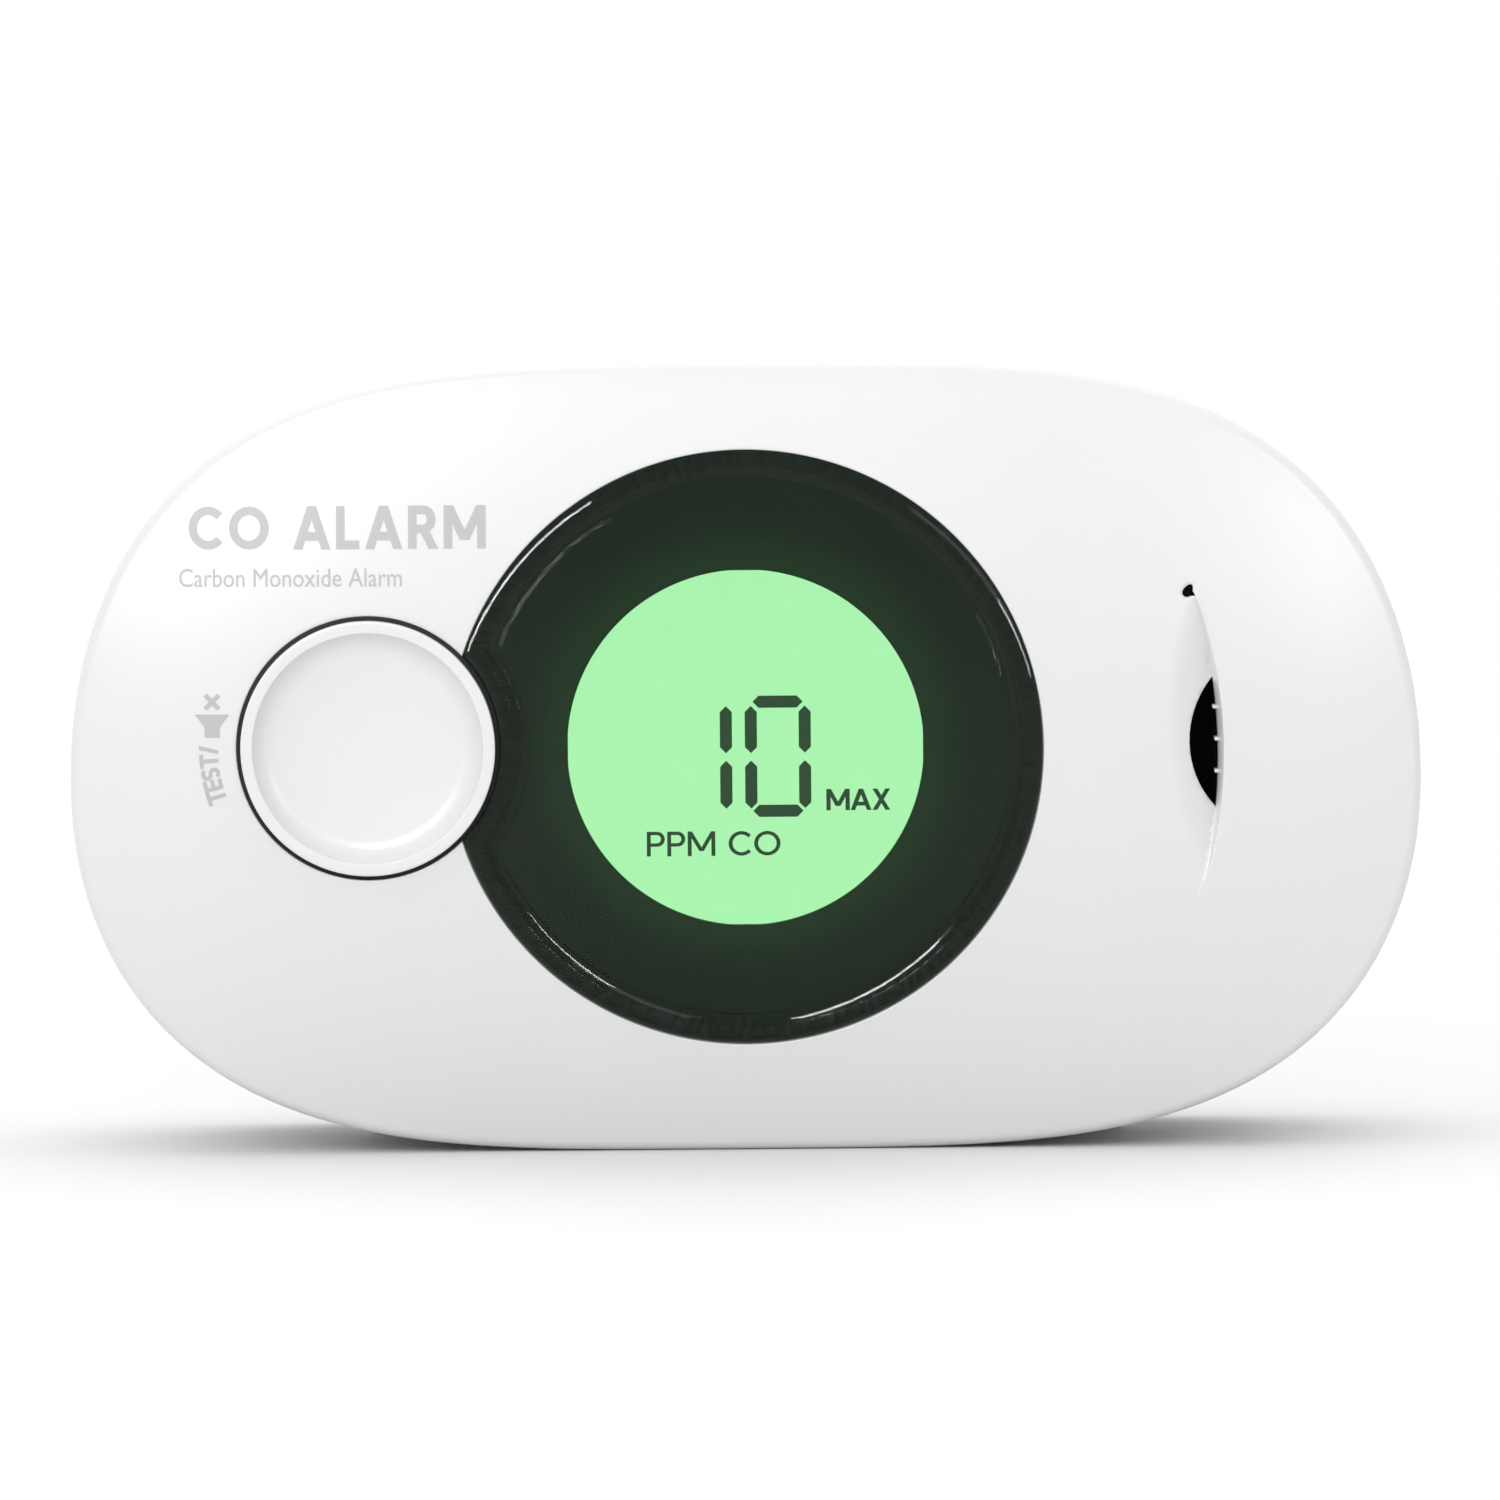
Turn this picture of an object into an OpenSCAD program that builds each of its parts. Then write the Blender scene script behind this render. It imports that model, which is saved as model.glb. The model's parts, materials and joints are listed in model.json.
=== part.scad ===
// Wall or shelf carbon monoxide detector with a round backlit display, a test
// button, a side-firing sounder behind a gill in the front, and a sealed cell.
// X runs to the right and Z up as seen from the front, and the front faces -Y.
// The origin is under the middle of the case, on the surface that it stands on.
// Units are millimetres.

/* [Case] */
// Width of the case
case_w = 120; // [110:1:130]
// Height of the case above the surface that it stands on
case_h = 70; // [66:1:74]
// Height of the widest point of the outline
widest_z = 33; // [31:1:36]
// Depth of the whole detector, front of the button to the back face
case_d = 37; // [36:0.5:40]
// How far the front face bulges from its rim to its middle
dome_h = 5.5; // [4:0.5:6]
// Thickness of the case walls
wall = 2.2; // [1.8:0.1:2.6]
// Radius that rounds the rim of the front face
rim_r = 1.2; // [0.8:0.1:1.5]

/* [Display] */
// Radius of the round smoked lens
lens_r = 26.25; // [25:0.25:27]
// Height of the middle of the lens and of the gill
axis_z = 36; // [35:0.1:37]
// Width of the raised bead round the lens
bead_w = 2; // [1.5:0.1:2.5]
// How far the bead stands above the front face
bead_h = 0.45; // [0.2:0.05:0.6]
// Radius of the window that shows the liquid crystal cell
window_r = 15.85; // [14:0.05:16.5]

/* [Button] */
// Distance of the button from the middle of the case
button_x = -33.4; // [-35:0.1:-32]
// Height of the middle of the button
button_z = 36.3; // [35:0.1:37]
// Radius of the button cap
button_r = 11.15; // [10:0.05:12]
// Travel of the button
button_travel = 1.2; // [0.8:0.1:1.4]

/* [Gill] */
// Distance of the gill's lip from the middle of the case
lip_x = 42.3; // [41:0.1:43]
// Radius of the curved lip
lip_r = 39.6; // [35:0.1:45]
// Radius of the scoop's curve across the case
scoop_r = 80; // [70:1:90]

/* [Wall fixing] */
// Distance between the two keyholes
keyhole_spacing = 60; // [56:1:62]
// Radius of the round end that the screw head passes
keyhole_r = 4; // [3.5:0.1:4.2]
// Half the width of the narrow slot that holds the screw's shank
keyhole_slot_r = 2.1; // [1.8:0.1:2.3]

/* [Hidden] */

$fn = 96;
eps = 0.01;             // overlap that makes neighbouring primitives one solid
fit = 0.1;              // clearance between pieces that drop into each other
running = 0.05;         // radial clearance of a rod that slides in a hole

// Outline: a rounded form with its own exponent across and up
side_power = 3.8;
height_power = 2.1;
outline_steps = 96;

// Stations along Y, front to back
back_y = case_d / 2;
apex_y = -case_d / 2 + 0.5;      // front face at its highest point
rim_y = apex_y + dome_h;         // front face at its rim
part_y = 3;                      // parting line of the two housings
part_gap = 0.4;                  // shadow gap at the parting line
seat_y = -11;                    // ledge that carries the lens stack
ledge_t = 1.8;
well_floor_y = -11;              // floor of the button well
well_floor_t = 1.8;
pcb_y = -4.8;                    // front face of the circuit board
pcb_t = 1.6;
pcb_back_y = pcb_y + pcb_t;
inner_back_y = back_y - wall;

draft = 0.8;                     // how much the front housing narrows backwards
rear_step = 0.3;                 // how far the rear housing sits inside the front one
back_r = 3;                      // roundness of the back edge
back_inset = draft + rear_step + 0.1 + back_r;  // edge of the flat back, inside the outline

// Lens and display stack
skirt_t = 1.9;
lens_t = 1.9;
gasket_t = 0.4;
surround_t = 1;
surround_y = seat_y - surround_t;    // front of the surround
skirt_end_y = surround_y - gasket_t; // where the lens skirt ends
opening_r = lens_r - skirt_t;        // hole inside the ledge
window_flat = 31.5;              // the window's circle is cut to this square
lcd_w = 33.6;
lcd_t = 2.8;
lcd_y = seat_y + fit;
backlight_y = lcd_y + lcd_t;
backlight_t = 1.8;
holder_y = seat_y + ledge_t + 0.2;
holder_w = 40;
holder_base_t = 0.8;
strip_z = 15.4;                  // connector strips above and below the middle
strip_w = 1.8;
strip_l = 30;

// Button
ring_gap = 0.1;
ring_t = 0.4;
ring_r = button_r + ring_gap + ring_t;
well_r = ring_r + 0.05;
well_wall = 1.5;
button_tilt = 4.3;               // the cap follows the slope of the front face
button_top_y = -case_d / 2 + button_r * tan(button_tilt);
cap_end_y = -12.5;               // back edge of the cap's skirt
cap_under_y = -14;               // underside of the cap, where the spring bears
cap_wall = 1.5;
stem_r = 2.5;
stem_end_y = well_floor_y + well_floor_t + 0.6;
collar_r = 3.3;                  // snap collar behind the well floor
dish_r = 10.2;
dish_sphere_r = 31.5;
key_offset = 6.5;                // guide pin that stops the cap turning
key_r = 0.9;
spring_r = 4.2;
spring_wire_r = 0.22;
spring_turns = 2.5;
plunger_y = stem_end_y + 0.05;
plunger_r = 1.75;
switch_w = 6.2;
switch_y = -7.2;                 // front of the push switch body

// Gill and sounder
scoop_x = 78.5;                  // middle of the scoop's curve across the case
scoop_y = -14.1;                 // deepest point of the scoop, at the lip
scoop_rise_r = 145;              // radius of the scoop's curve up the case
scoop_z = 41.6;                  // height of the scoop's deepest point
gill_tilt = 0.8;                 // lean of the whole gill towards the display
vent_r = 7.75;                   // curved side of the opening in the scoop
vent_x = 47.05;
gill_pad_y = -11.4;              // back of the thick wall behind the gill
rib_rises = [-2.45, 0.4, 3.25];     // heights of the vent ribs from the axis
rib_t = 0.5;
tip_hole_r = 0.45;
tip_rise = 13.7;                 // height of the pinhole above the axis
mesh_t = 0.4;
sounder_x = 40.5;
sounder_r = 12;
sounder_y = gill_pad_y + mesh_t + fit;
sounder_end_y = pcb_y - 0.2;

// Fastening points
case_screw_x = 47;
case_screw_zs = [18, 50];
case_boss_r = 3.2;
pcb_screw_x = 38;
pcb_screw_zs = [12.5, 55.5];
pcb_boss_r = 2.8;

// Parts behind the circuit board
sensor_x = -30;
sensor_z = 33;
sensor_r = 10;
sensor_h = 9.5;
cell_x = -9;
cell_z = 21.5;
cell_r = 8.5;
cell_l = 34.5;
cell_y = pcb_back_y + 0.8 + cell_r;
slider_z = 54;
slider_travel = 4;
keyhole_z = 38;
keyhole_rise = 7;
foot_x = 27;
foot_w = 14;
foot_y = 9.5;
foot_d = 9;

// ---- Outline and surface functions ----

function half_h(z) = z > widest_z ? case_h - widest_z : widest_z;

// 0 in the middle of the front face and 1 on its outline
function level(x, z) =
    pow(abs(x) / (case_w / 2), side_power)
    + pow(abs(z - widest_z) / half_h(z), height_power);

function face_y(x, z) = apex_y + dome_h * level(x, z);

// A point of the outline, moved in by inset
function outline_point(i, inset = 0) =
    let (c = cos(360 * i / outline_steps),
         s = sin(360 * i / outline_steps),
         h = (s > 0 ? case_h - widest_z : widest_z) - inset)
    [(case_w / 2 - inset) * c,
     widest_z + sign(s) * h * pow(1 - pow(abs(c), side_power), 1 / height_power)];

function outline(inset = 0) =
    [for (i = [0:outline_steps - 1]) outline_point(i, inset)];

// A ring of the outline at one depth
function flat_ring(inset, y) = [for (p = outline(inset)) [p.x, y, p.y]];

// A ring on the front face, moved back by lift, at a share of the way out
function dome_ring(share, inset, lift) =
    [for (p = outline(inset))
        let (x = p.x * share, z = widest_z + (p.y - widest_z) * share)
        [x, face_y(x, z) + lift, z]];

// ---- Helpers ----

// A flat shape in X and Z, drawn from depth y0 back to y1
module slab(y0, y1) {
    translate([0, y1, 0]) rotate([90, 0, 0]) linear_extrude(y1 - y0) children();
}

module rod(x, z, y0, y1, r) {
    slab(y0, y1) translate([x, z]) circle(r);
}

module box(x0, x1, y0, y1, z0, z1) {
    translate([x0, y0, z0]) cube([x1 - x0, y1 - y0, z1 - z0]);
}

// A closed skin through rings of points, capped flat at the first ring and
// with a fan to tip at the last
module skin(rings, tip) {
    n = outline_steps;
    count = len(rings);
    points = [for (ring = rings) each ring, tip];
    cap = [for (i = [0:n - 1]) i];
    sides = [for (k = [0:count - 2], i = [0:n - 1])
        let (j = (i + 1) % n)
        each [[k * n + i, (k + 1) * n + i, (k + 1) * n + j],
              [k * n + i, (k + 1) * n + j, k * n + j]]];
    fan = [for (i = [0:n - 1])
        [(count - 1) * n + i, count * n, (count - 1) * n + (i + 1) % n]];
    polyhedron(points, concat([cap], sides, fan));
}

// The front housing's outer form, moved back by lift
module front_form(lift = 0) {
    rim_start = rim_y + 0.7 * rim_r;
    rings = concat(
        [flat_ring(draft, part_y - part_gap / 2), flat_ring(0, rim_start + lift)],
        [for (a = [25, 50, 70])
            flat_ring(rim_r * (1 - cos(a)), rim_start + lift - rim_r * sin(a))],
        [for (share = [0.94, 0.86, 0.76, 0.65, 0.52, 0.38, 0.24, 0.1])
            dome_ring(share, 0, lift)]);
    skin(rings, [0, apex_y + lift, widest_z]);
}

// The room inside the front housing
module front_room() {
    rings = concat(
        [flat_ring(draft + wall, part_y + 1), flat_ring(wall, rim_y + wall)],
        [for (share = [0.97, 0.85, 0.68, 0.48, 0.25])
            dome_ring(share, wall, wall)]);
    skin(rings, [0, apex_y + wall, widest_z]);
}

// The rear housing's form: a rounded tray with a flat back
module rear_form(t, front) {
    r = back_r - t;
    rings = concat(
        [for (a = [90, 72, 54, 36, 18, 0])
            flat_ring(back_inset - r * cos(a), back_y - t - r + r * sin(a))],
        [flat_ring(draft + rear_step + t, front)]);
    skin(rings, [0, front, widest_z]);
}

// The lens outline, a disc with a bite for the button, moved in by inset
module lens_shape(inset = 0) {
    difference() {
        translate([0, axis_z]) circle(lens_r - inset);
        translate([button_x, button_z]) circle(well_r + inset);
    }
}

module at_case_screws() {
    for (x = [-case_screw_x, case_screw_x], z = case_screw_zs)
        translate([x, 0, z]) children();
}

module at_pcb_screws() {
    for (x = [-pcb_screw_x, pcb_screw_x], z = pcb_screw_zs)
        translate([x, 0, z]) children();
}

// ---- Front housing ----

module gill_scoop() {
    // the curve across the case is turned about a line across, far in front
    intersection() {
        translate([0, scoop_y - scoop_rise_r, scoop_z]) rotate([0, 90, 0])
            rotate_extrude($fn = 360) intersection() {
                translate([scoop_rise_r - sqrt(pow(scoop_r, 2) - pow(scoop_x - lip_x, 2)),
                           scoop_x])
                    circle(scoop_r);
                translate([scoop_rise_r - 10, 30]) square([20, 14]);
            }
        rod(lip_x - lip_r, axis_z, apex_y - 4, gill_pad_y - 0.5, lip_r);
    }
}

module gill_vent() {
    intersection() {
        rod(lip_x - lip_r, axis_z, scoop_y - 2.2, gill_pad_y + 1, lip_r);
        rod(vent_x, axis_z, scoop_y - 2.2, gill_pad_y + 1, vent_r);
    }
}

module tilted_gill() {
    translate([lip_x, 0, axis_z]) rotate([0, -gill_tilt, 0])
        translate([-lip_x, 0, -axis_z]) children();
}

module gill_ribs() {
    for (rise = rib_rises)
        box(lip_x - 0.8, lip_x + 1.5, scoop_y + 0.6, gill_pad_y,
            axis_z + rise - rib_t / 2, axis_z + rise + rib_t / 2);
}

// What stands in the room of the front housing
module front_fittings() {
    at_case_screws() rod(0, 0, apex_y, part_y + 2, case_boss_r);
    at_pcb_screws() rod(0, 0, apex_y, pcb_y, pcb_boss_r);
    rod(button_x, button_z, apex_y, well_floor_y + well_floor_t, well_r + well_wall);
    rod(0, axis_z, apex_y, seat_y + ledge_t, lens_r + 1.6);
    box(35, 45.5, apex_y, gill_pad_y, axis_z - 15.5, axis_z + 15.5);
}

module front_housing() color("whitesmoke") {
    difference() {
        front_form();
        difference() {
            front_room();
            front_fittings();
        }
        slab(apex_y - 2, seat_y) lens_shape(-fit);
        slab(seat_y - 1, seat_y + ledge_t + 1) difference() {
            translate([0, axis_z]) circle(opening_r);
            translate([button_x, button_z]) circle(well_r + well_wall);
        }
        rod(button_x, button_z, apex_y - 2, well_floor_y, well_r);
        rod(button_x, button_z, well_floor_y - 1, well_floor_y + well_floor_t + 1,
            stem_r + running);
        rod(button_x + key_offset, button_z, well_floor_y - 1,
            well_floor_y + well_floor_t + 1, key_r + running);
        tilted_gill() {
            gill_scoop();
            gill_vent();
            rod(lip_x - 2.8, axis_z + tip_rise, apex_y, gill_pad_y + 1, tip_hole_r);
        }
        at_case_screws() rod(0, 0, -8, part_y + 3, 1.45);
        at_pcb_screws() rod(0, 0, -10, pcb_y + 1, 1);
    }
    tilted_gill() gill_ribs();
}

// ---- Rear housing ----

module keyhole_pocket(grow) {
    for (z = [keyhole_z, keyhole_z + keyhole_rise])
        rod(0, z, inner_back_y - 4.4 - grow, inner_back_y + eps, keyhole_r + 0.3 + grow);
    box(-keyhole_r - 0.3 - grow, keyhole_r + 0.3 + grow, inner_back_y - 4.4 - grow,
        inner_back_y + eps, keyhole_z, keyhole_z + keyhole_rise);
}

module at_keyholes() {
    for (side = [-1, 1])
        translate([side * keyhole_spacing / 2, 0, 0]) children();
}

module cell_saddles() {
    for (x = [cell_x + 5, cell_x + cell_l - 9])
        difference() {
            box(x, x + 3, 10, inner_back_y + 1, cell_z - 8, cell_z + 8);
            translate([x - 1, cell_y, cell_z]) rotate([0, 90, 0])
                cylinder(h = 5, r = cell_r + 0.2);
        }
}

module rear_fittings() {
    at_case_screws() rod(0, 0, part_y - 2, back_y, case_boss_r + 0.6);
    at_keyholes() keyhole_pocket(1.4);
    cell_saddles();
}

module vent_slots() {
    for (side = [-1, 1], k = [0:6])
        box(side * (20 + 3.2 * k) - 0.7, side * (20 + 3.2 * k) + 0.7, 6.5, 12, 56, case_h);
    for (k = [-4:4])
        box(3.2 * k - 0.7, 3.2 * k + 0.7, 6.5, 12, -1, 8);
}

module feet() {
    for (side = [-1, 1])
        translate([side * foot_x, foot_y, 0]) linear_extrude(3.4) {
            square([foot_w - 3, foot_d], center = true);
            square([foot_w, foot_d - 3], center = true);
            for (dx = [-1, 1], dy = [-1, 1])
                translate([dx * (foot_w / 2 - 1.5), dy * (foot_d / 2 - 1.5)]) circle(1.5);
        }
}

module rear_housing() color("white") {
    difference() {
        union() {
            rear_form(0, part_y + part_gap / 2);
            feet();
        }
        difference() {
            rear_form(wall, part_y - 1);
            rear_fittings();
        }
        vent_slots();
        at_case_screws() {
            rod(0, 0, part_y - 1, back_y, 1.6);
            rod(0, 0, back_y - 3.6, back_y + 1, 3.1);
        }
        at_keyholes() {
            keyhole_pocket(0);
            rod(0, keyhole_z, inner_back_y - 1, back_y + 1, keyhole_r);
            rod(0, keyhole_z + keyhole_rise, inner_back_y - 1, back_y + 1, keyhole_slot_r);
            box(-keyhole_slot_r, keyhole_slot_r, inner_back_y - 1, back_y + 1,
                keyhole_z, keyhole_z + keyhole_rise);
        }
        box(-22, 22, back_y - 0.3, back_y + 1, 13, 43);
        box(-8, 8, back_y - 1.2, back_y + 1, slider_z - 3, slider_z + 3);
        box(-slider_travel / 2 - 1.6, slider_travel / 2 + 1.6, inner_back_y - 1, back_y,
            slider_z - 1.3, slider_z + 1.3);
    }
    // bosses that meet those of the front housing
    at_case_screws() slab(part_y - part_gap / 2 + 0.05, part_y + 1) difference() {
        circle(case_boss_r);
        circle(1.6);
    }
    // tongue that locates inside the front housing
    slab(part_y - 2, part_y + 3) difference() {
        polygon(outline(draft + wall + 0.15));
        polygon(outline(draft + wall + 1.35));
    }
}

// ---- Display ----

module lens_pocket() {
    intersection() {
        slab(apex_y, skirt_end_y + 1) lens_shape(skirt_t);
        front_form(lens_t);
    }
}

module display_lens() color([0.12, 0.17, 0.13, 0.6]) {
    difference() {
        union() {
            intersection() {
                slab(apex_y - 2, skirt_end_y) lens_shape();
                front_form();
            }
            intersection() {
                slab(apex_y - 2, skirt_end_y - 1) difference() {
                    lens_shape();
                    lens_shape(bead_w);
                }
                front_form(-bead_h);
            }
        }
        lens_pocket();
    }
}

module lens_gasket() color("dimgray") {
    slab(skirt_end_y, surround_y) difference() {
        lens_shape(fit);
        lens_shape(skirt_t);
    }
}

module display_surround() color([0.1, 0.14, 0.11]) {
    difference() {
        slab(surround_y, seat_y) lens_shape(0.15);
        slab(surround_y - 1, seat_y + 1) translate([0, axis_z]) intersection() {
            circle(window_r);
            square(window_flat, center = true);
        }
    }
}

module lcd_square(w, h) {
    translate([0, axis_z]) square([w, h], center = true);
}

module lcd_cell() color([0.66, 0.95, 0.68]) {
    slab(lcd_y, lcd_y + lcd_t) lcd_square(lcd_w, lcd_w);
}

module lcd_backlight() color("honeydew") {
    slab(backlight_y, backlight_y + backlight_t)
        lcd_square(lcd_w, 2 * strip_z - strip_w - 0.4);
}

module strip_shapes(grow = 0) {
    for (side = [-1, 1])
        translate([0, axis_z + side * strip_z])
            square([strip_l + 2 * grow, strip_w + 2 * grow], center = true);
}

module lcd_holder() color("gainsboro") {
    base_y = backlight_y + backlight_t;
    difference() {
        slab(holder_y, pcb_y) lcd_square(holder_w, holder_w);
        slab(holder_y - 1, base_y) lcd_square(lcd_w + 0.2, lcd_w + 0.2);
        slab(base_y - 1, pcb_y + 1) strip_shapes(fit);
        slab(base_y + holder_base_t, pcb_y + 1) lcd_square(holder_w - 8, 24);
    }
}

module lcd_connectors() color("lightpink") {
    slab(backlight_y, pcb_y) strip_shapes();
}

// ---- Button ----

module test_button() color("white") {
    difference() {
        intersection() {
            rod(button_x, button_z, button_top_y - 3, cap_end_y, button_r);
            translate([button_x, button_top_y, button_z]) rotate([0, 0, -button_tilt])
                translate([-20, 0, -20]) cube([40, 20, 40]);
        }
        translate([button_x, button_top_y, button_z]) rotate([0, 0, -button_tilt])
            translate([0, -sqrt(pow(dish_sphere_r, 2) - pow(dish_r, 2)), 0])
                sphere(dish_sphere_r, $fn = 180);
        rod(button_x, button_z, cap_under_y, cap_end_y + 1, button_r - cap_wall);
    }
    rod(button_x, button_z, cap_under_y - 1, stem_end_y, stem_r);
    rod(button_x, button_z, stem_end_y - 0.5, stem_end_y, collar_r);
    rod(button_x + key_offset, button_z, cap_under_y - 1, stem_end_y, key_r);
}

module button_spring() color("silver") {
    steps = 14;
    sides = 8;
    rise = well_floor_y - cap_under_y - 2 * spring_wire_r - 0.1;
    count = floor(spring_turns * steps);
    points = [for (k = [0:count], j = [0:sides - 1])
        let (turn = 360 * k / steps,
             r = spring_r + spring_wire_r * cos(360 * j / sides),
             y = cap_under_y + spring_wire_r + 0.05 + rise * k / count
                 + spring_wire_r * sin(360 * j / sides))
        [button_x + r * cos(turn), y, button_z + r * sin(turn)]];
    tube = [for (k = [0:count - 1], j = [0:sides - 1])
        let (a = k * sides + j, b = k * sides + (j + 1) % sides)
        each [[a, a + sides, b + sides], [a, b + sides, b]]];
    start = [for (j = [0:sides - 1]) j];
    end = [for (j = [sides - 1:-1:0]) count * sides + j];
    polyhedron(points, concat([start, end], tube));
}

module button_ring() color("black") {
    intersection() {
        slab(apex_y - 1, well_floor_y) translate([button_x, button_z]) difference() {
            circle(ring_r);
            circle(button_r + ring_gap);
        }
        front_form(0.15);
    }
}

// ---- Circuit board and its switches ----

module main_pcb() color("darkgreen") {
    slab(pcb_y, pcb_back_y) difference() {
        intersection() {
            polygon(outline(5.5));
            translate([0, 34]) square([86, 53], center = true);
        }
        for (x = [-pcb_screw_x, pcb_screw_x], z = pcb_screw_zs)
            translate([x, z]) circle(1.2);
        for (a = sensor_pin_angles)
            translate(sensor_pin(a)) circle(0.6);
        for (side = [-1, 1])
            translate([sounder_x - 4 , axis_z + side * 5]) circle(0.55);
    }
}

module tact_switch() color("dimgray") {
    difference() {
        box(button_x - switch_w / 2, button_x + switch_w / 2, switch_y, pcb_y,
            button_z - switch_w / 2, button_z + switch_w / 2);
        rod(button_x, button_z, switch_y - 1, pcb_y - 0.6, plunger_r + running);
    }
}

module tact_plunger() color("black") {
    rod(button_x, button_z, plunger_y, pcb_y - 0.7 - button_travel, plunger_r);
}

module slide_switch() color("silver") {
    difference() {
        box(-4.8, 4.8, pcb_back_y, pcb_back_y + 3, slider_z - 2.2, slider_z + 2.2);
        box(-slider_travel / 2 - 0.8, slider_travel / 2 + 0.8, pcb_back_y + 1,
            pcb_back_y + 4, slider_z - 0.8, slider_z + 0.8);
    }
}

module slide_lever() color("black") {
    box(slider_travel / 2 - 0.6, slider_travel / 2 + 0.6, pcb_back_y + 1.1,
        pcb_back_y + 6, slider_z - 0.6, slider_z + 0.6);
}

module activation_slider() color("dimgray") {
    x = slider_travel / 2;
    face = back_y - 1.2;
    // thumb pad with grip ridges
    box(x - 2.6, x + 2.6, face + 0.1, face + 0.8, slider_z - 2, slider_z + 2);
    for (k = [-2:2])
        box(x + k - 0.25, x + k + 0.25, face + 0.7, face + 1.1, slider_z - 1.8, slider_z + 1.8);
    // neck, retaining plate, arm and fork
    box(x - 1.5, x + 1.5, inner_back_y - 0.5, face + 0.2, slider_z - 1.2, slider_z + 1.2);
    box(x - 3.2, x + 3.2, inner_back_y - 0.9, inner_back_y - 0.1, slider_z - 2.4, slider_z + 2.4);
    difference() {
        box(x - 1.5, x + 1.5, pcb_back_y + 3.6, inner_back_y - 0.5,
            slider_z - 1.2, slider_z + 1.2);
        box(x - 0.7, x + 0.7, pcb_back_y + 3, pcb_back_y + 6.2, slider_z - 2, slider_z + 2);
    }
}

// ---- Sensor ----

sensor_pin_angles = [30, 150, 270];
sensor_y = pcb_back_y + 0.6;

function sensor_pin(a) = [sensor_x + 6 * cos(a), sensor_z + 6 * sin(a)];

module sensor_can() color("lightgray") {
    rod(sensor_x, sensor_z, sensor_y, sensor_y + sensor_h, sensor_r);
    rod(sensor_x, sensor_z, sensor_y + sensor_h - 1, sensor_y + sensor_h + 0.8, sensor_r - 1.5);
}

module sensor_cap() color("white") {
    difference() {
        rod(sensor_x, sensor_z, sensor_y + sensor_h + 0.8, sensor_y + sensor_h + 2.2,
            sensor_r - 1.5);
        rod(sensor_x, sensor_z, sensor_y + sensor_h, sensor_y + sensor_h + 3, 1.2);
    }
}

module sensor_pins() color("gold") {
    for (a = sensor_pin_angles)
        let (p = sensor_pin(a)) rod(p.x, p.y, pcb_y + 0.1, sensor_y, 0.5);
}

// ---- Sounder ----

module sounder_case() color("black") {
    difference() {
        rod(sounder_x, axis_z, sounder_y, sounder_end_y, sounder_r);
        rod(sounder_x, axis_z, sounder_y + 1, sounder_end_y - 1, sounder_r - 1);
        rod(sounder_x, axis_z, sounder_y - 1, sounder_y + 2, 2.5);
    }
}

module piezo_disc() color("goldenrod") {
    rod(sounder_x, axis_z, sounder_y + 2.4, sounder_y + 2.8, sounder_r - 1.1);
}

module sounder_mesh() color("black") {
    y = gill_pad_y + 0.05;
    for (k = [0:5])
        box(39 + 1.15 * k, 39.35 + 1.15 * k, y, y + mesh_t, axis_z - 6.5, axis_z + 6.5);
    for (k = [0:10])
        box(38.6, 45.4, y, y + mesh_t, axis_z - 6.4 + 1.25 * k, axis_z - 6.1 + 1.25 * k);
}

module sounder_leads() color("silver") {
    for (side = [-1, 1])
        rod(sounder_x - 4, axis_z + side * 5, sounder_end_y, pcb_back_y + 0.5, 0.45);
}

// ---- Power cell ----

module along_x(x0, x1, r) {
    translate([x0, cell_y, cell_z]) rotate([0, 90, 0]) cylinder(h = x1 - x0, r = r);
}

module battery_cell() color("steelblue") {
    along_x(cell_x, cell_x + cell_l - 1.2, cell_r);
    along_x(cell_x + cell_l - 1.5, cell_x + cell_l, 3);
}

module battery_tabs() color("silver") {
    for (end = [[cell_x - 0.25, -1], [cell_x + cell_l, 1]]) {
        box(end[0], end[0] + 0.25, pcb_back_y, cell_y, cell_z - 2.5, cell_z + 2.5);
        box(end[0] - (end[1] < 0 ? 3 : 0), end[0] + 0.25 + (end[1] > 0 ? 3 : 0),
            pcb_back_y, pcb_back_y + 0.25, cell_z - 2.5, cell_z + 2.5);
    }
}

// ---- Small parts on the board ----

module microcontroller() color("black") {
    box(-15, -6, pcb_back_y + 0.1, pcb_back_y + 1.5, 38, 47);
    for (k = [0:7]) {
        box(-14.4 + 1.1 * k, -14 + 1.1 * k, pcb_back_y, pcb_back_y + 0.3, 37, 48);
        box(-16, -5, pcb_back_y, pcb_back_y + 0.3, 38.6 + 1.1 * k, 39 + 1.1 * k);
    }
}

module boost_inductor() color("dimgray") {
    rod(30, 50, pcb_back_y, pcb_back_y + 5, 4);
    box(25.5, 34.5, pcb_back_y, pcb_back_y + 1, 47, 53);
}

module capacitors() color("silver") {
    for (x = [12, 20]) {
        box(x - 3.3, x + 3.3, pcb_back_y, pcb_back_y + 1, 43.7, 50.3);
        rod(x, 47, pcb_back_y, pcb_back_y + 7.7, 3.15);
    }
}

module resistors() color("black") {
    for (k = [0:5], row = [0, 1])
        box(-18 + 2.6 * k, -16.4 + 2.6 * k, pcb_back_y, pcb_back_y + 0.5,
            31.5 + 2.2 * row, 32.3 + 2.2 * row);
}

module status_led(k) {
    box(21.4, 23, pcb_y - 0.8, pcb_y, axis_z + 6 * k - 0.8, axis_z + 6 * k + 0.8);
}

module power_led() color("limegreen") status_led(1);
module alarm_led() color("red") status_led(0);
module fault_led() color("gold") status_led(-1);

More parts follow.
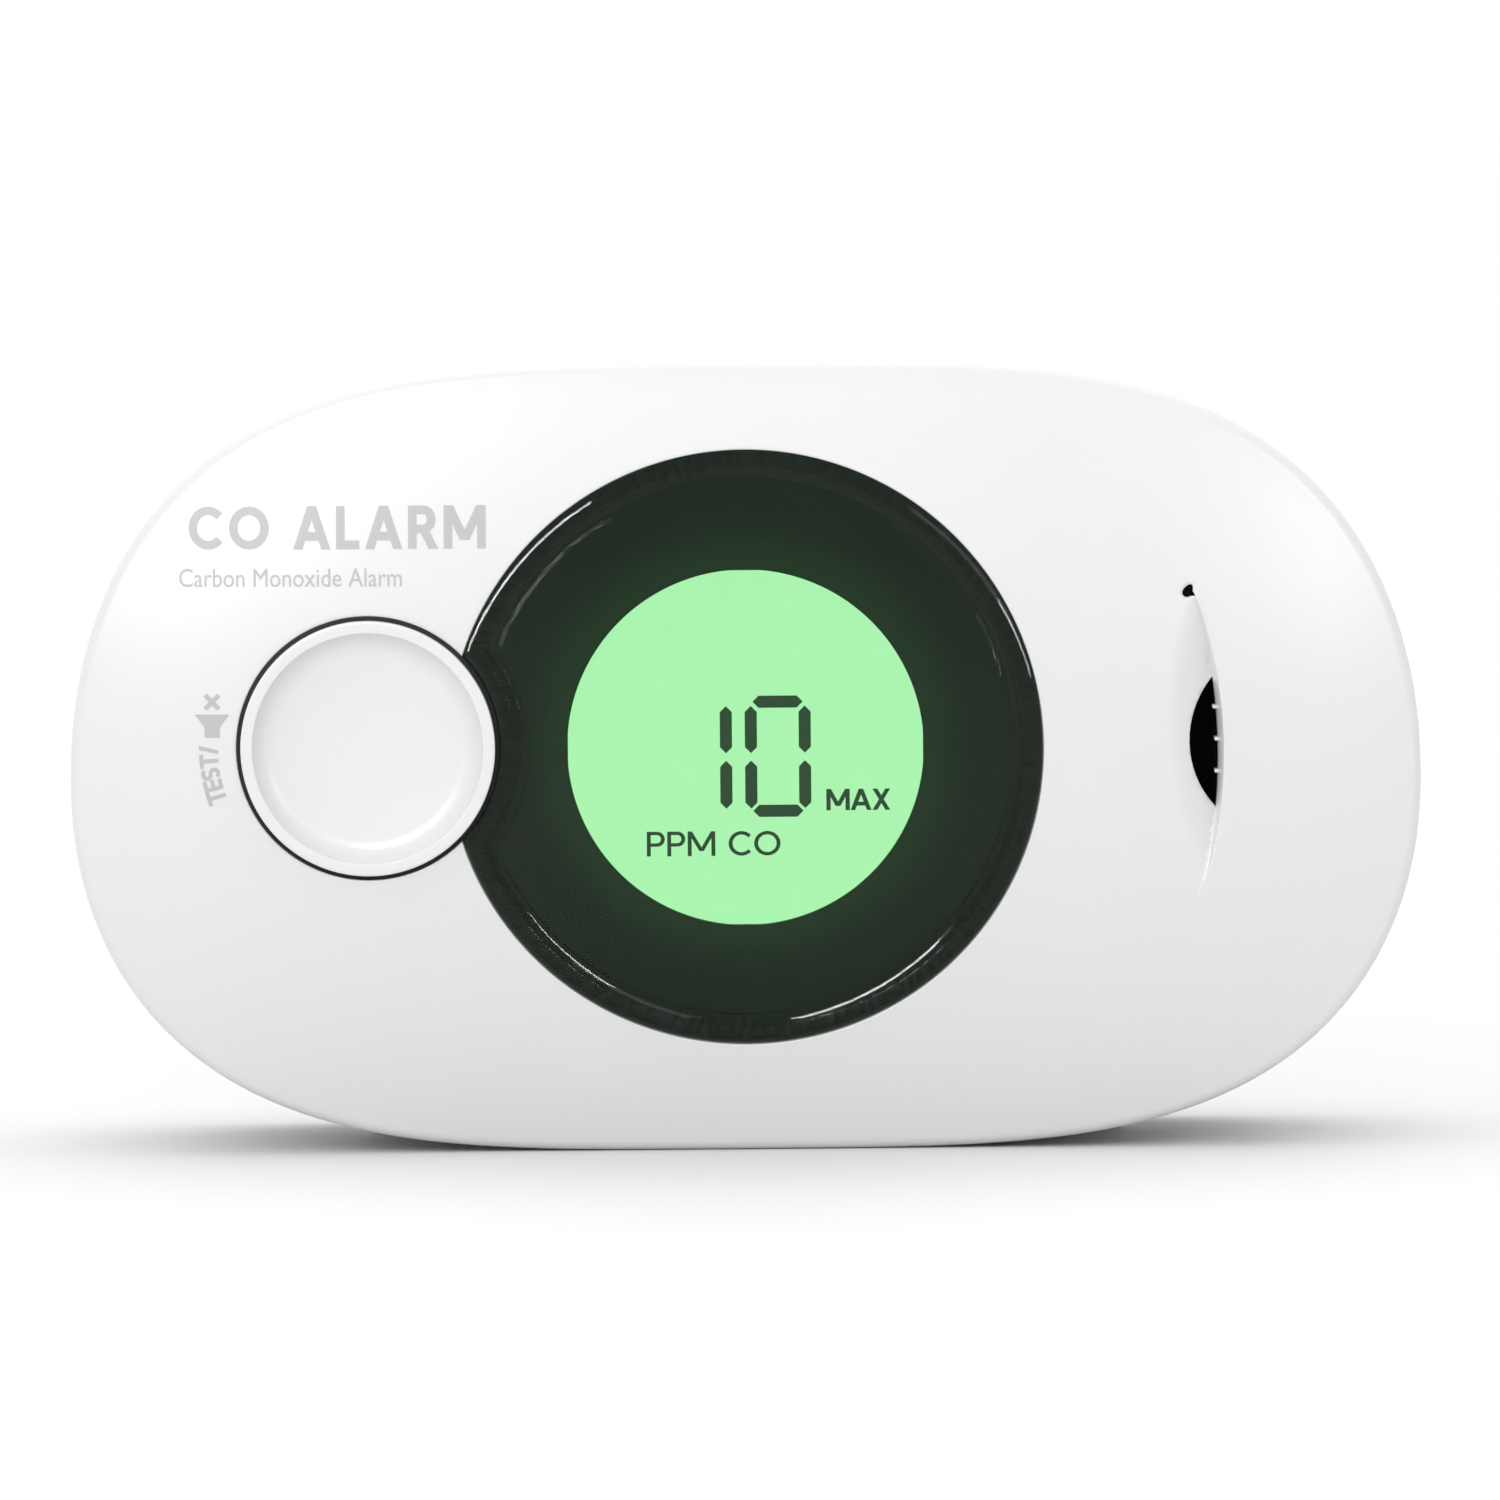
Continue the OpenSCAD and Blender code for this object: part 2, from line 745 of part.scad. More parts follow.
module light_pipes() color([0.9, 0.9, 0.9, 0.5]) {
    for (k = [-1:1])
        rod(22.2, axis_z + 6 * k, seat_y + fit, pcb_y - 0.9, 0.9);
}

// ---- Fasteners and label ----

module screw(head_y, head_r, head_t, tip_y, r) {
    difference() {
        rod(0, 0, head_y, head_y + head_t, head_r);
        for (turn = [0, 90])
            translate([0, head_y + head_t, 0]) rotate([0, turn, 0])
                cube([1.4 * head_r, head_t, 0.24 * head_r], center = true);
    }
    rod(0, 0, tip_y, head_y + eps, r);
}

module case_screws() color("silver") {
    at_case_screws() screw(back_y - 3.6, 2.8, 1.8, -6.5, 1.4);
}

module pcb_screws() color("silver") {
    at_pcb_screws() screw(pcb_back_y, 2.2, 1.4, -9, 0.95);
}

module rating_label() color("lightgray") {
    slab(back_y - 0.3, back_y - 0.05) translate([0, 28]) {
        square([43.4, 27.6], center = true);
        square([41.4, 29.6], center = true);
        for (dx = [-1, 1], dz = [-1, 1])
            translate([dx * 20.7, dz * 13.8]) circle(1);
    }
}

front_housing();
rear_housing();
display_lens();
lens_gasket();
display_surround();
lcd_cell();
lcd_backlight();
lcd_holder();
lcd_connectors();
test_button();
button_spring();
button_ring();
main_pcb();
tact_switch();
tact_plunger();
slide_switch();
slide_lever();
activation_slider();
sensor_can();
sensor_cap();
sensor_pins();
sounder_case();
piezo_disc();
sounder_mesh();
sounder_leads();
battery_cell();
battery_tabs();
microcontroller();
boost_inductor();
capacitors();
resistors();
power_led();
alarm_led();
fault_led();
light_pipes();
case_screws();
pcb_screws();
rating_label();
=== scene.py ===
"""Carbon monoxide detector: the detailed visible pieces, their materials, the light and the camera."""
import json
import math

import bmesh
import bpy
import numpy as np
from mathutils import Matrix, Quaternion, Vector
from mathutils.geometry import delaunay_2d_cdt


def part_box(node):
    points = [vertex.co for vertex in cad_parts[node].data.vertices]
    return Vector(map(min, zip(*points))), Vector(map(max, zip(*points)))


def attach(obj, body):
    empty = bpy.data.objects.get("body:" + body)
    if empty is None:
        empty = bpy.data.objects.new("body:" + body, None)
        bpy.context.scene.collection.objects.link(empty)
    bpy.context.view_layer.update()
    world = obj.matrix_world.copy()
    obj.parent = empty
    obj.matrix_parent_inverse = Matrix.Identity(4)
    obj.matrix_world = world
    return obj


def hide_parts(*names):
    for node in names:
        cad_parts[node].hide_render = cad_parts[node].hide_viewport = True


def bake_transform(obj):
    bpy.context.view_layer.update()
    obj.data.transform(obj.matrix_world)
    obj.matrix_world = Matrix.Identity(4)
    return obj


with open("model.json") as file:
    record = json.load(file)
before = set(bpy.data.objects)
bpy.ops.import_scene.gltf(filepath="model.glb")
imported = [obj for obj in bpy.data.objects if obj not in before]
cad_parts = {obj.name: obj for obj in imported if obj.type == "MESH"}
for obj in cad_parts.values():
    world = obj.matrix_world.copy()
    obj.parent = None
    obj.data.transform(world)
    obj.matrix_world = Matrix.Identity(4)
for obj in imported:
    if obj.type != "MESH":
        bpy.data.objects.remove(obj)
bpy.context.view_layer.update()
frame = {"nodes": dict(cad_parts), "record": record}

# ---- Sizes in millimetres, taken from the frame ----


def mm_box(node):
    lo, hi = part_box(node)
    return np.array(lo) * 1000, np.array(hi) * 1000


front_lo, front_hi = mm_box("front_housing")
button_lo, button_hi = mm_box("test_button")
plate_lo, plate_hi = mm_box("display_surround")
lens_lo, lens_hi = mm_box("display_lens")

HALF_W = (front_hi[0] - front_lo[0]) / 2
CASE_H = front_hi[2] - front_lo[2]
APEX = front_lo[1]                       # front face at its highest point
BACK = mm_box("rear_housing")[1][1]
PART = front_hi[1] + 0.2                 # parting line
AXIS_Z = (plate_lo[2] + plate_hi[2]) / 2
LENS_R = (lens_hi[2] - lens_lo[2]) / 2
LENS_END = lens_hi[1]
BUTTON_X, BUTTON_Z = (button_lo[0] + button_hi[0]) / 2, (button_lo[2] + button_hi[2]) / 2
BUTTON_R = (button_hi[0] - button_lo[0]) / 2
BUTTON_FRONT = button_lo[1]
SEAT = plate_hi[1]                       # ledge that the display plate stands on
LCD_Y = mm_box("lcd_cell")[0][1]         # front of the display

WIDEST_Z = 33.0                          # height at which the outline is widest
DOME = 5.5                               # how far the front face falls back from its middle to its rim
RIM = APEX + DOME
RIM_R = 1.2
SIDE_POWER = 3.8                         # squareness of the outline across
HEIGHT_POWER = 2.1                       # and up and down
WALL = 2.2
DRAFT = 0.8                              # how much the front housing narrows towards the parting line
REAR_INSET = 1.1                         # how far the rear housing stands in from the rim
BACK_R = 3.0                             # rounding of the back's edge
CAP_R = BUTTON_R + 0.13
WELL_R = BUTTON_R + 0.53
BUTTON_LEAN = math.atan2(BUTTON_Z - AXIS_Z, BUTTON_X)   # direction of the button from the lens
LIP_R, LIP_X = 39.6, 42.3                # curve of the gill's lip, and its furthest point to the right
PAD = -11.4                              # back of the wall behind the gill


def level(x, z):
    h = np.where(np.asarray(z) > WIDEST_Z, CASE_H - WIDEST_Z, WIDEST_Z)
    return (np.abs(x) / HALF_W) ** SIDE_POWER + (np.abs(z - WIDEST_Z) / h) ** HEIGHT_POWER


def face(x, z):
    return APEX + DOME * level(x, z)


def below(drop):
    """The front face moved in by drop, as a function of x and z."""
    return lambda x, z: float(face(x, z)) + drop


def face_normal(x, z):
    e = 0.02
    n = np.array([(face(x + e, z) - face(x - e, z)) / (2 * e), -1.0,
                  (face(x, z + e) - face(x, z - e)) / (2 * e)])
    return n / np.linalg.norm(n)


def outline(inset, turn):
    """Point of the outline moved in by inset; turn is the angle round it."""
    c, s = math.cos(turn), math.sin(turn)
    if abs(s) < 1e-9:
        s = 0.0
    h = (CASE_H - WIDEST_Z if s > 0 else WIDEST_Z) - inset
    rise = max(0.0, 1 - abs(c) ** SIDE_POWER) ** (1 / HEIGHT_POWER)
    return (HALF_W - inset) * c, WIDEST_Z + math.copysign(h * rise, s)


# ---- Mesh building ----

def placed(name, data):
    """A new object in the scene."""
    obj = bpy.data.objects.new(name, data)
    bpy.context.scene.collection.objects.link(obj)
    return obj


class Build:
    """Collects vertices and faces in millimetres."""

    def __init__(self):
        self.v, self.f, self.fixed = [], [], {}

    def add(self, p):
        self.v.append(tuple(float(c) for c in p))
        return len(self.v) - 1

    def loop(self, points):
        return [self.add(p) for p in points]

    def strip(self, a, b, closed=True):
        n = len(a)
        for i in range(n if closed else n - 1):
            j = (i + 1) % n
            quad = [a[i], a[j], b[j], b[i]]
            quad = [k for m, k in enumerate(quad) if k not in quad[:m]]
            if len(quad) > 2:
                self.f.append(quad)

    def chain(self, loops, closed=True):
        for a, b in zip(loops, loops[1:]):
            self.strip(a, b, closed)

    def patch(self, loops, flat, lift=None, spacing=None, normal=None, fine=None):
        """Fills the region between loops. flat gives a vertex's place in the plane, and lift turns a plane
        point into a vertex. Points are added inside at a spacing, and closer in the box fine, which is x0, z0,
        x1, z1 and its spacing."""
        ids = [i for lp in loops for i in lp]
        base = np.array([flat(self.v[i]) for i in ids], float)
        rings, start = [], 0
        for lp in loops:
            rings.append(np.arange(start, start + len(lp)))
            start += len(lp)
        edges = [(int(r[k]), int(r[(k + 1) % len(r)])) for r in rings for k in range(len(r))]
        pts = base
        if spacing:
            grid = lattice(*base.min(0), *base.max(0), spacing)
            grid = grid[far_from(grid, base, spacing * 0.6)]
            if fine:
                box, step = fine[:4], fine[4]
                boxed = np.all((grid > np.array(box[:2]) - step) & (grid < np.array(box[2:]) + step), axis=1)
                dense = lattice(*box, step)
                grid = np.vstack([grid[~boxed], dense[far_from(dense, base, step * 0.5)]])
            grid = grid[inside(grid, [base[r] for r in rings])]
            for g in grid:
                ids.append(self.add(lift(*g)))
                if normal:
                    self.fixed[ids[-1]] = normal(*g)
            pts = np.vstack([base, grid])
        out = delaunay_2d_cdt([Vector(p) for p in pts], edges, [], 0, 1e-7)
        verts, tris, source = out[0], out[2], out[3]
        where = [ids[s[0]] if s else None for s in source]
        mids = np.array([np.mean([verts[k] for k in t], axis=0) for t in tris])
        keep = inside(mids, [base[r] for r in rings])
        for t, ok in zip(tris, keep):
            if ok and all(where[k] is not None for k in t) and len({where[k] for k in t}) == 3:
                self.f.append([where[k] for k in t])

    def cap(self, loop, axes=(0, 2)):
        self.patch([loop], lambda p: (p[axes[0]], p[axes[1]]))

    def prism(self, ends, axes=(0, 2)):
        """A closed solid between two loops."""
        self.strip(*ends)
        for end in ends:
            self.cap(end, axes)

    def lathe(self, profile, centre, steps, tilt=0.0):
        """profile is a list of (radius, y). tilt is how much y falls for each mm to the right."""
        rings = []
        for r, y in profile:
            if r < 1e-6:
                rings.append([self.add((centre[0], y, centre[1]))] * steps)
            else:
                ring = circle(*centre, r, steps)
                rings.append(self.loop(at_depth(ring, lambda x, z: y - (x - centre[0]) * tilt)))
        self.chain(rings)
        return rings

    def make(self, name, sharp, body="case", stands_for=(), material=None):
        mesh = bpy.data.meshes.new(name)
        mesh.from_pydata([tuple(c / 1000 for c in p) for p in self.v], [], self.f)
        bm = bmesh.new()
        bm.from_mesh(mesh)
        bmesh.ops.recalc_face_normals(bm, faces=bm.faces)
        bm.to_mesh(mesh)
        bm.free()
        mesh.shade_smooth()
        mesh.set_sharp_from_angle(angle=math.radians(sharp))
        if self.fixed:
            mesh.normals_split_custom_set_from_vertices(
                [tuple(self.fixed.get(i, (0, 0, 0))) for i in range(len(self.v))])
        obj = placed(name, mesh)
        if body:
            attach(obj, body)
        if stands_for:
            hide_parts(*stands_for)
        if material:
            mesh.materials.append(material)
        return obj


def lattice(x0, z0, x1, z1, spacing):
    """Staggered rows of points over a box."""
    rows = []
    for k, z in enumerate(np.arange(z0, z1, spacing * 0.866)):
        xs = np.arange(x0 + (k % 2) * spacing / 2, x1, spacing)
        rows.append(np.column_stack([xs, np.full_like(xs, z)]))
    return np.vstack(rows)


def inside(points, rings):
    """Even-odd test of points against closed rings."""
    hit = np.zeros(len(points), bool)
    for ring in rings:
        nxt = np.roll(ring, -1, axis=0)
        for (x1, y1), (x2, y2) in zip(ring, nxt):
            if y1 == y2:
                continue
            cross = (points[:, 1] < y1) != (points[:, 1] < y2)
            xs = x1 + (points[:, 1] - y1) * (x2 - x1) / (y2 - y1)
            hit ^= cross & (points[:, 0] < xs)
    return hit


def far_from(points, others, least):
    keep = np.ones(len(points), bool)
    for k in range(0, len(points), 400):
        d = np.hypot(points[k:k + 400, None, 0] - others[None, :, 0],
                     points[k:k + 400, None, 1] - others[None, :, 1])
        keep[k:k + 400] = d.min(1) > least
    return keep


def xz(p):
    return p[0], p[2]


def circle(x, z, r, steps=96):
    turns = [2 * math.pi * k / steps for k in range(steps)]
    return [(x + r * math.cos(t), z + r * math.sin(t)) for t in turns]


def rounded_box(x0, x1, z0, z1, r, steps=6):
    pts = []
    corners = (x1 - r, z1 - r), (x0 + r, z1 - r), (x0 + r, z0 + r), (x1 - r, z0 + r)
    for quarter, (cx, cz) in enumerate(corners):
        for k in range(steps + 1):
            a = math.radians(90 * quarter + 90 * k / steps)
            pts.append((cx + r * math.cos(a), cz + r * math.sin(a)))
    return pts


def at_depth(points, y):
    """Plane points placed at a depth, which is a number or a function of x and z."""
    return [(x, y(x, z) if callable(y) else y, z) for x, z in points]


# ---- Materials ----

def new_material(name):
    m = bpy.data.materials.new(name)
    m.use_nodes = True
    nt = m.node_tree
    return m, nt, nt.nodes["Principled BSDF"]


def texture(nt, kind, scale, detail=3.0):
    coord = nt.nodes.new("ShaderNodeTexCoord")
    tex = nt.nodes.new(kind)
    tex.inputs["Scale"].default_value = scale
    if "Detail" in tex.inputs:
        tex.inputs["Detail"].default_value = detail
    nt.links.new(coord.outputs["Object"], tex.inputs["Vector"])
    return tex


def ramp(nt, source, stops):
    r = nt.nodes.new("ShaderNodeValToRGB")
    r.color_ramp.elements[0].position, r.color_ramp.elements[0].color = stops[0][0], (*stops[0][1], 1)
    r.color_ramp.elements[1].position, r.color_ramp.elements[1].color = stops[1][0], (*stops[1][1], 1)
    nt.links.new(source, r.inputs["Fac"])
    return r.outputs["Color"]


def span(nt, source, low, high):
    m = nt.nodes.new("ShaderNodeMapRange")
    m.inputs["From Min"].default_value, m.inputs["From Max"].default_value = 0.3, 0.7
    m.inputs["To Min"].default_value, m.inputs["To Max"].default_value = low, high
    nt.links.new(source, m.inputs["Value"])
    return m.outputs["Result"]


def bump(nt, bsdf, source, strength, distance):
    b = nt.nodes.new("ShaderNodeBump")
    b.inputs["Strength"].default_value = strength
    b.inputs["Distance"].default_value = distance
    nt.links.new(source, b.inputs["Height"])
    nt.links.new(b.outputs["Normal"], bsdf.inputs["Normal"])


def moulded(name, colour, rough, grain=0.15, coat=0.0, vary=0.03, scale=2600, alpha=1.0, shine=0.5):
    """Moulded plastic: slight variation of colour and gloss, and a fine texture."""
    m, nt, b = new_material(name)
    cloud = texture(nt, "ShaderNodeTexNoise", 60)
    dark = tuple(c * (1 - vary) for c in colour)
    nt.links.new(ramp(nt, cloud.outputs["Fac"], ((0.35, dark), (0.65, colour))), b.inputs["Base Color"])
    nt.links.new(span(nt, cloud.outputs["Fac"], rough * 0.92, rough * 1.08), b.inputs["Roughness"])
    fine = texture(nt, "ShaderNodeTexNoise", scale, 2.0)
    bump(nt, b, fine.outputs["Fac"], grain, 0.00002)
    b.inputs["Coat Weight"].default_value = coat
    b.inputs["Specular IOR Level"].default_value = shine
    b.inputs["Coat Roughness"].default_value = 0.12
    b.inputs["Alpha"].default_value = alpha
    return m


def brushed(name, colour, rough, stretch=(1, 40, 1)):
    """Plated or drawn metal with fine lines."""
    m, nt, b = new_material(name)
    coord = nt.nodes.new("ShaderNodeTexCoord")
    mapping = nt.nodes.new("ShaderNodeMapping")
    mapping.inputs["Scale"].default_value = stretch
    tex = nt.nodes.new("ShaderNodeTexNoise")
    tex.inputs["Scale"].default_value = 300
    nt.links.new(coord.outputs["Object"], mapping.inputs["Vector"])
    nt.links.new(mapping.outputs["Vector"], tex.inputs["Vector"])
    dark = tuple(c * 0.8 for c in colour)
    nt.links.new(ramp(nt, tex.outputs["Fac"], ((0.3, dark), (0.7, colour))), b.inputs["Base Color"])
    nt.links.new(span(nt, tex.outputs["Fac"], rough * 0.8, rough * 1.2), b.inputs["Roughness"])
    bump(nt, b, tex.outputs["Fac"], 0.2, 0.00002)
    b.inputs["Metallic"].default_value = 1.0
    return m


def glowing(name, colour, strength, scale=400):
    """A surface lit from behind, with the faint unevenness of its diffuser."""
    m, nt, b = new_material(name)
    tex = texture(nt, "ShaderNodeTexNoise", scale, 2.0)
    dark = tuple(c * 0.975 for c in colour)
    nt.links.new(ramp(nt, tex.outputs["Fac"], ((0.3, dark), (0.7, colour))), b.inputs["Emission Color"])
    b.inputs["Emission Strength"].default_value = strength
    b.inputs["Base Color"].default_value = (*[c * 0.1 for c in colour], 1)
    b.inputs["Roughness"].default_value = 0.5
    b.inputs["Specular IOR Level"].default_value = 0.1
    return m


WHITE = moulded("white_abs", (0.65, 0.65, 0.65), 0.34, grain=0.12, vary=0.006)
BUTTON_WHITE = moulded("button_abs", (0.67, 0.67, 0.67), 0.38, grain=0.12, vary=0.006)
REAR_WHITE = moulded("rear_abs", (0.66, 0.66, 0.66), 0.48, grain=0.3, vary=0.01)
BLACK = moulded("black_abs", (0.005, 0.005, 0.005), 0.5, vary=0.2, shine=0.2)
# black cloth behind the gill; also used for the painted shade in the pinhole
CLOTH_AND_PIN_SHADE = moulded("filter_cloth_and_pin_shade", (0.002, 0.002, 0.002), 0.8, grain=0.5, vary=0.3, shine=0.05)
LABEL_INK = moulded("label_ink", (0.06, 0.06, 0.065), 0.5, vary=0.1, scale=5000)
INK = moulded("grey_ink", (0.4, 0.4, 0.405), 0.5, vary=0.02, scale=5000)


def smoked(name, gloss, rough):
    """Smoked clear plastic. gloss is the strength of its reflections."""
    m, nt, b = new_material(name)
    cloud = texture(nt, "ShaderNodeTexNoise", 80)
    tints = (0.35, (0.0035, 0.011, 0.0045)), (0.65, (0.0045, 0.013, 0.0055))
    nt.links.new(ramp(nt, cloud.outputs["Fac"], tints), b.inputs["Base Color"])
    nt.links.new(span(nt, cloud.outputs["Fac"], rough * 0.8, rough * 1.2), b.inputs["Roughness"])
    b.inputs["Alpha"].default_value = 0.55
    b.inputs["IOR"].default_value = 1.49
    b.inputs["Specular IOR Level"].default_value = gloss
    return m


def display_plate():
    """Dark printed plate. Near the lit window's edge it carries a painted glow: emission that stands in for
    the display's light falling on the plate.
    """
    m, nt, b = new_material("display_plate")
    coord = nt.nodes.new("ShaderNodeTexCoord")
    away = nt.nodes.new("ShaderNodeVectorMath")
    away.operation = "DISTANCE"
    flat = nt.nodes.new("ShaderNodeVectorMath")
    flat.operation = "MULTIPLY"
    flat.inputs[1].default_value = (1, 0, 1)
    away.inputs[1].default_value = (0, 0, AXIS_Z / 1000)
    nt.links.new(coord.outputs["Object"], flat.inputs[0])
    nt.links.new(flat.outputs["Vector"], away.inputs[0])
    # painted glow: a mask that is 1 at the window's edge (15.5 mm from the lens axis) and fades to 0 at 21.5
    # mm
    near = nt.nodes.new("ShaderNodeMapRange")
    near.inputs["From Min"].default_value, near.inputs["From Max"].default_value = 0.0155, 0.0215
    near.inputs["To Min"].default_value, near.inputs["To Max"].default_value = 1.0, 0.0
    near.interpolation_type = "SMOOTHERSTEP"
    nt.links.new(away.outputs["Value"], near.inputs["Value"])
    # painted glow colours: a faint green over the whole plate, brighter green at the window's edge
    glow = (0.0, (0.006, 0.014, 0.008)), (1.0, (0.02, 0.09, 0.02))
    nt.links.new(ramp(nt, near.outputs["Result"], glow), b.inputs["Emission Color"])
    b.inputs["Emission Strength"].default_value = 1.0
    b.inputs["Base Color"].default_value = (0.012, 0.02, 0.013, 1)
    b.inputs["Specular IOR Level"].default_value = 0.1
    fine = texture(nt, "ShaderNodeTexNoise", 1500, 2.0)
    bump(nt, b, fine.outputs["Fac"], 0.3, 0.00003)
    nt.links.new(span(nt, fine.outputs["Fac"], 0.4, 0.55), b.inputs["Roughness"])
    return m


LENS = smoked("smoked_lens", 0.35, 0.04)
LENS_INSIDE = smoked("smoked_lens_inside", 0.0, 0.5)
PLATE = display_plate()
LCD = glowing("lit_crystal", (0.42, 0.95, 0.45), 4.65)
SEGMENT = glowing("dark_segment", (0.05, 0.15, 0.06), 1.75, 900)

STEPS = 384
TURNS = [2 * math.pi * k / STEPS for k in range(STEPS)]


def case_ring(b, inset, y):
    """A ring of the outline, y a number or a function of x and z."""
    return b.loop(at_depth([outline(inset, t) for t in TURNS], y))


# ---- Front housing ----

def two_rounds(big, little, bitten, big_steps, little_steps):
    """Outline of the lens's circle with the button's circle joined to it or bitten out of it."""
    d = math.hypot(BUTTON_X, BUTTON_Z - AXIS_Z)
    a = math.acos((d * d + big * big - little * little) / (2 * d * big))
    c = math.acos((d * d + little * little - big * big) / (2 * d * little))
    sweep = -2 * c if bitten else 2 * math.pi - 2 * c
    pts = []
    for k in range(big_steps):
        t = BUTTON_LEAN + a + (2 * math.pi - 2 * a) * k / big_steps
        pts.append((big * math.cos(t), AXIS_Z + big * math.sin(t)))
    for k in range(little_steps):
        t = BUTTON_LEAN - math.pi + c + sweep * k / little_steps
        pts.append((BUTTON_X + little * math.cos(t), BUTTON_Z + little * math.sin(t)))
    return pts


def hole_outline(grow):
    """Outline of the joined lens and button openings, grown by grow."""
    return two_rounds(LENS_R + 0.1 + grow, WELL_R + grow, False, 240, 144)


SCOOP_R, SCOOP_CX = 80.0, 78.5           # the scoop across: its radius, and the place of its centre
RISE_R, SCOOP_Z = 145.0, 41.6            # the scoop up and down: its radius, and its deepest height
SCOOP_DEEP = -14.1
BLEND = 0.5                              # width over which the scoop rounds into the face
LEAN = math.radians(0.8)                 # the whole gill leans over by this
GILL_LEFT, GILL_HALF_H = 30, 16          # a box that holds the scoop
GILL_FINE = (33.5, 21.0, 43.5, 53.0, 0.4)   # a box round it, and the spacing of its points
GILL_TOP = 13.15                         # where the slit under the lip runs into the pinhole
LIP_ROUND, LIP_UNDERCUT = 0.2, 0.2       # rounding of the lip, and how far it overhangs for each mm of depth
VENT_R, VENT_X, VENT_HALF_H = 7.75, 47.05, 5.4
VENT_WALL = 1.2
PIN_X, PIN_RISE = 39.28, 13.6
RIB_RISES = (-2.45, 0.4, 3.25)           # heights of the ribs across the vent
RIB_HALF_W, RIB_HALF_H = 0.3, 0.145


def leaned(x, z):
    """A point of the gill's own plane, placed in the case."""
    dx, dz, c, s = x - LIP_X, z - AXIS_Z, math.cos(LEAN), math.sin(LEAN)
    return LIP_X + dx * c - dz * s, AXIS_Z + dx * s + dz * c


def straight(p):
    """The gill's own plane point of a vertex."""
    dx, dz, c, s = p[0] - LIP_X, p[2] - AXIS_Z, math.cos(LEAN), math.sin(LEAN)
    return LIP_X + dx * c + dz * s, AXIS_Z - dx * s + dz * c


def case_face(x, z):
    """Depth of the front face at a point of the gill's own plane."""
    return float(face(*leaned(x, z)))


def gill_point(x, y, z):
    """A vertex of the gill, from its own plane point and its depth."""
    x, z = leaned(x, z)
    return x, y, z


def scoop(x, z):
    """Depth of the scoop, a part of a ring's surface."""
    at_lip = np.sqrt(SCOOP_R ** 2 - (SCOOP_CX - LIP_X) ** 2)
    rho = RISE_R - at_lip + np.sqrt(SCOOP_R ** 2 - (x - SCOOP_CX) ** 2)
    return SCOOP_DEEP - RISE_R + np.sqrt(rho ** 2 - (z - SCOOP_Z) ** 2)


def gill_face(x, z):
    """Depth of the face and the scoop, rounded together."""
    a, s = case_face(x, z), float(scoop(x, z))
    h = max(BLEND - abs(a - s), 0) / BLEND
    return max(a, s) + h * h * BLEND / 4


def lip_at(z):
    """How far to the right the lip reaches."""
    return LIP_X - LIP_R + math.sqrt(LIP_R ** 2 - (z - AXIS_Z) ** 2)


def solve(fn, lo, hi):
    """Where fn changes sign between lo and hi."""
    for _ in range(50):
        mid = (lo + hi) / 2
        if (fn(mid) > 0) == (fn(lo) > 0):
            lo = mid
        else:
            hi = mid
    return (lo + hi) / 2


def depth_at_lip(z):
    return float(scoop(lip_at(z), z)) - case_face(lip_at(z), z) + BLEND


def in_gill(x, z):
    u, v = straight((x, 0, z))
    return GILL_LEFT < u < lip_at(v) and abs(v - AXIS_Z) < GILL_HALF_H


def front_depth_in_gill(x, z):
    return gill_face(*straight((x, 0, z)))


def front_depth(x, z):
    """Depth of the front face with the gill scooped out of it."""
    return front_depth_in_gill(x, z) if in_gill(x, z) else float(face(x, z))


def front_normal(x, z):
    if not in_gill(x, z):
        return face_normal(x, z)
    e = 0.05
    slopes = [(front_depth_in_gill(x + dx, z + dz) - front_depth_in_gill(x - dx, z - dz)) / (2 * e)
              for dx, dz in ((e, 0), (0, e))]
    n = np.array([slopes[0], -1.0, slopes[1]])
    return n / np.linalg.norm(n)


def pin_drop(t):
    """Point of the drop-shaped pinhole that ends the gill."""
    u, v = 0.62 * math.cos(t), 0.42 * math.sin(t) * (1 - 0.25 * math.cos(t))
    return PIN_X + 0.5 * u - 0.866 * v, AXIS_Z + PIN_RISE + 0.866 * u + 0.5 * v


def drop_outline():
    """The pinhole's outline, from one side of the slit round to the other."""
    return [pin_drop(math.radians(-126 - 310 * k / 28)) for k in range(29)]


def under_lip(z):
    """Where the wall under the lip meets the scoop."""
    x = lip_at(z)
    return x - LIP_UNDERCUT * (gill_face(x, z) - case_face(x, z))


LEDGE = 1.8                              # thickness of the ledge that carries the display plate
WELL_WALL = 1.5                          # the wall round the lens's and the button's openings
STEM_HOLE_R, GUIDE_HOLE_R, GUIDE_RUN = 2.55, 0.95, 6.5


def ledge_window():
    """Opening in the ledge behind the lens, which keeps clear of the button's well."""
    clear = WELL_R + WELL_WALL
    window = circle(0, AXIS_Z, LENS_R - 1.9)
    window = [p for p in window if math.hypot(p[0] - BUTTON_X, p[1] - BUTTON_Z) > clear]
    start = max(range(len(window)), key=lambda k: math.dist(window[k], window[k - 1]))
    window = window[start:] + window[:start]
    ends = [math.atan2(z - BUTTON_Z, x - BUTTON_X) for x, z in (window[-1], window[0])]
    for k in range(1, 16):
        t = ends[0] + (ends[1] - ends[0]) * k / 16
        window.append((BUTTON_X + clear * math.cos(t), BUTTON_Z + clear * math.sin(t)))
    return window


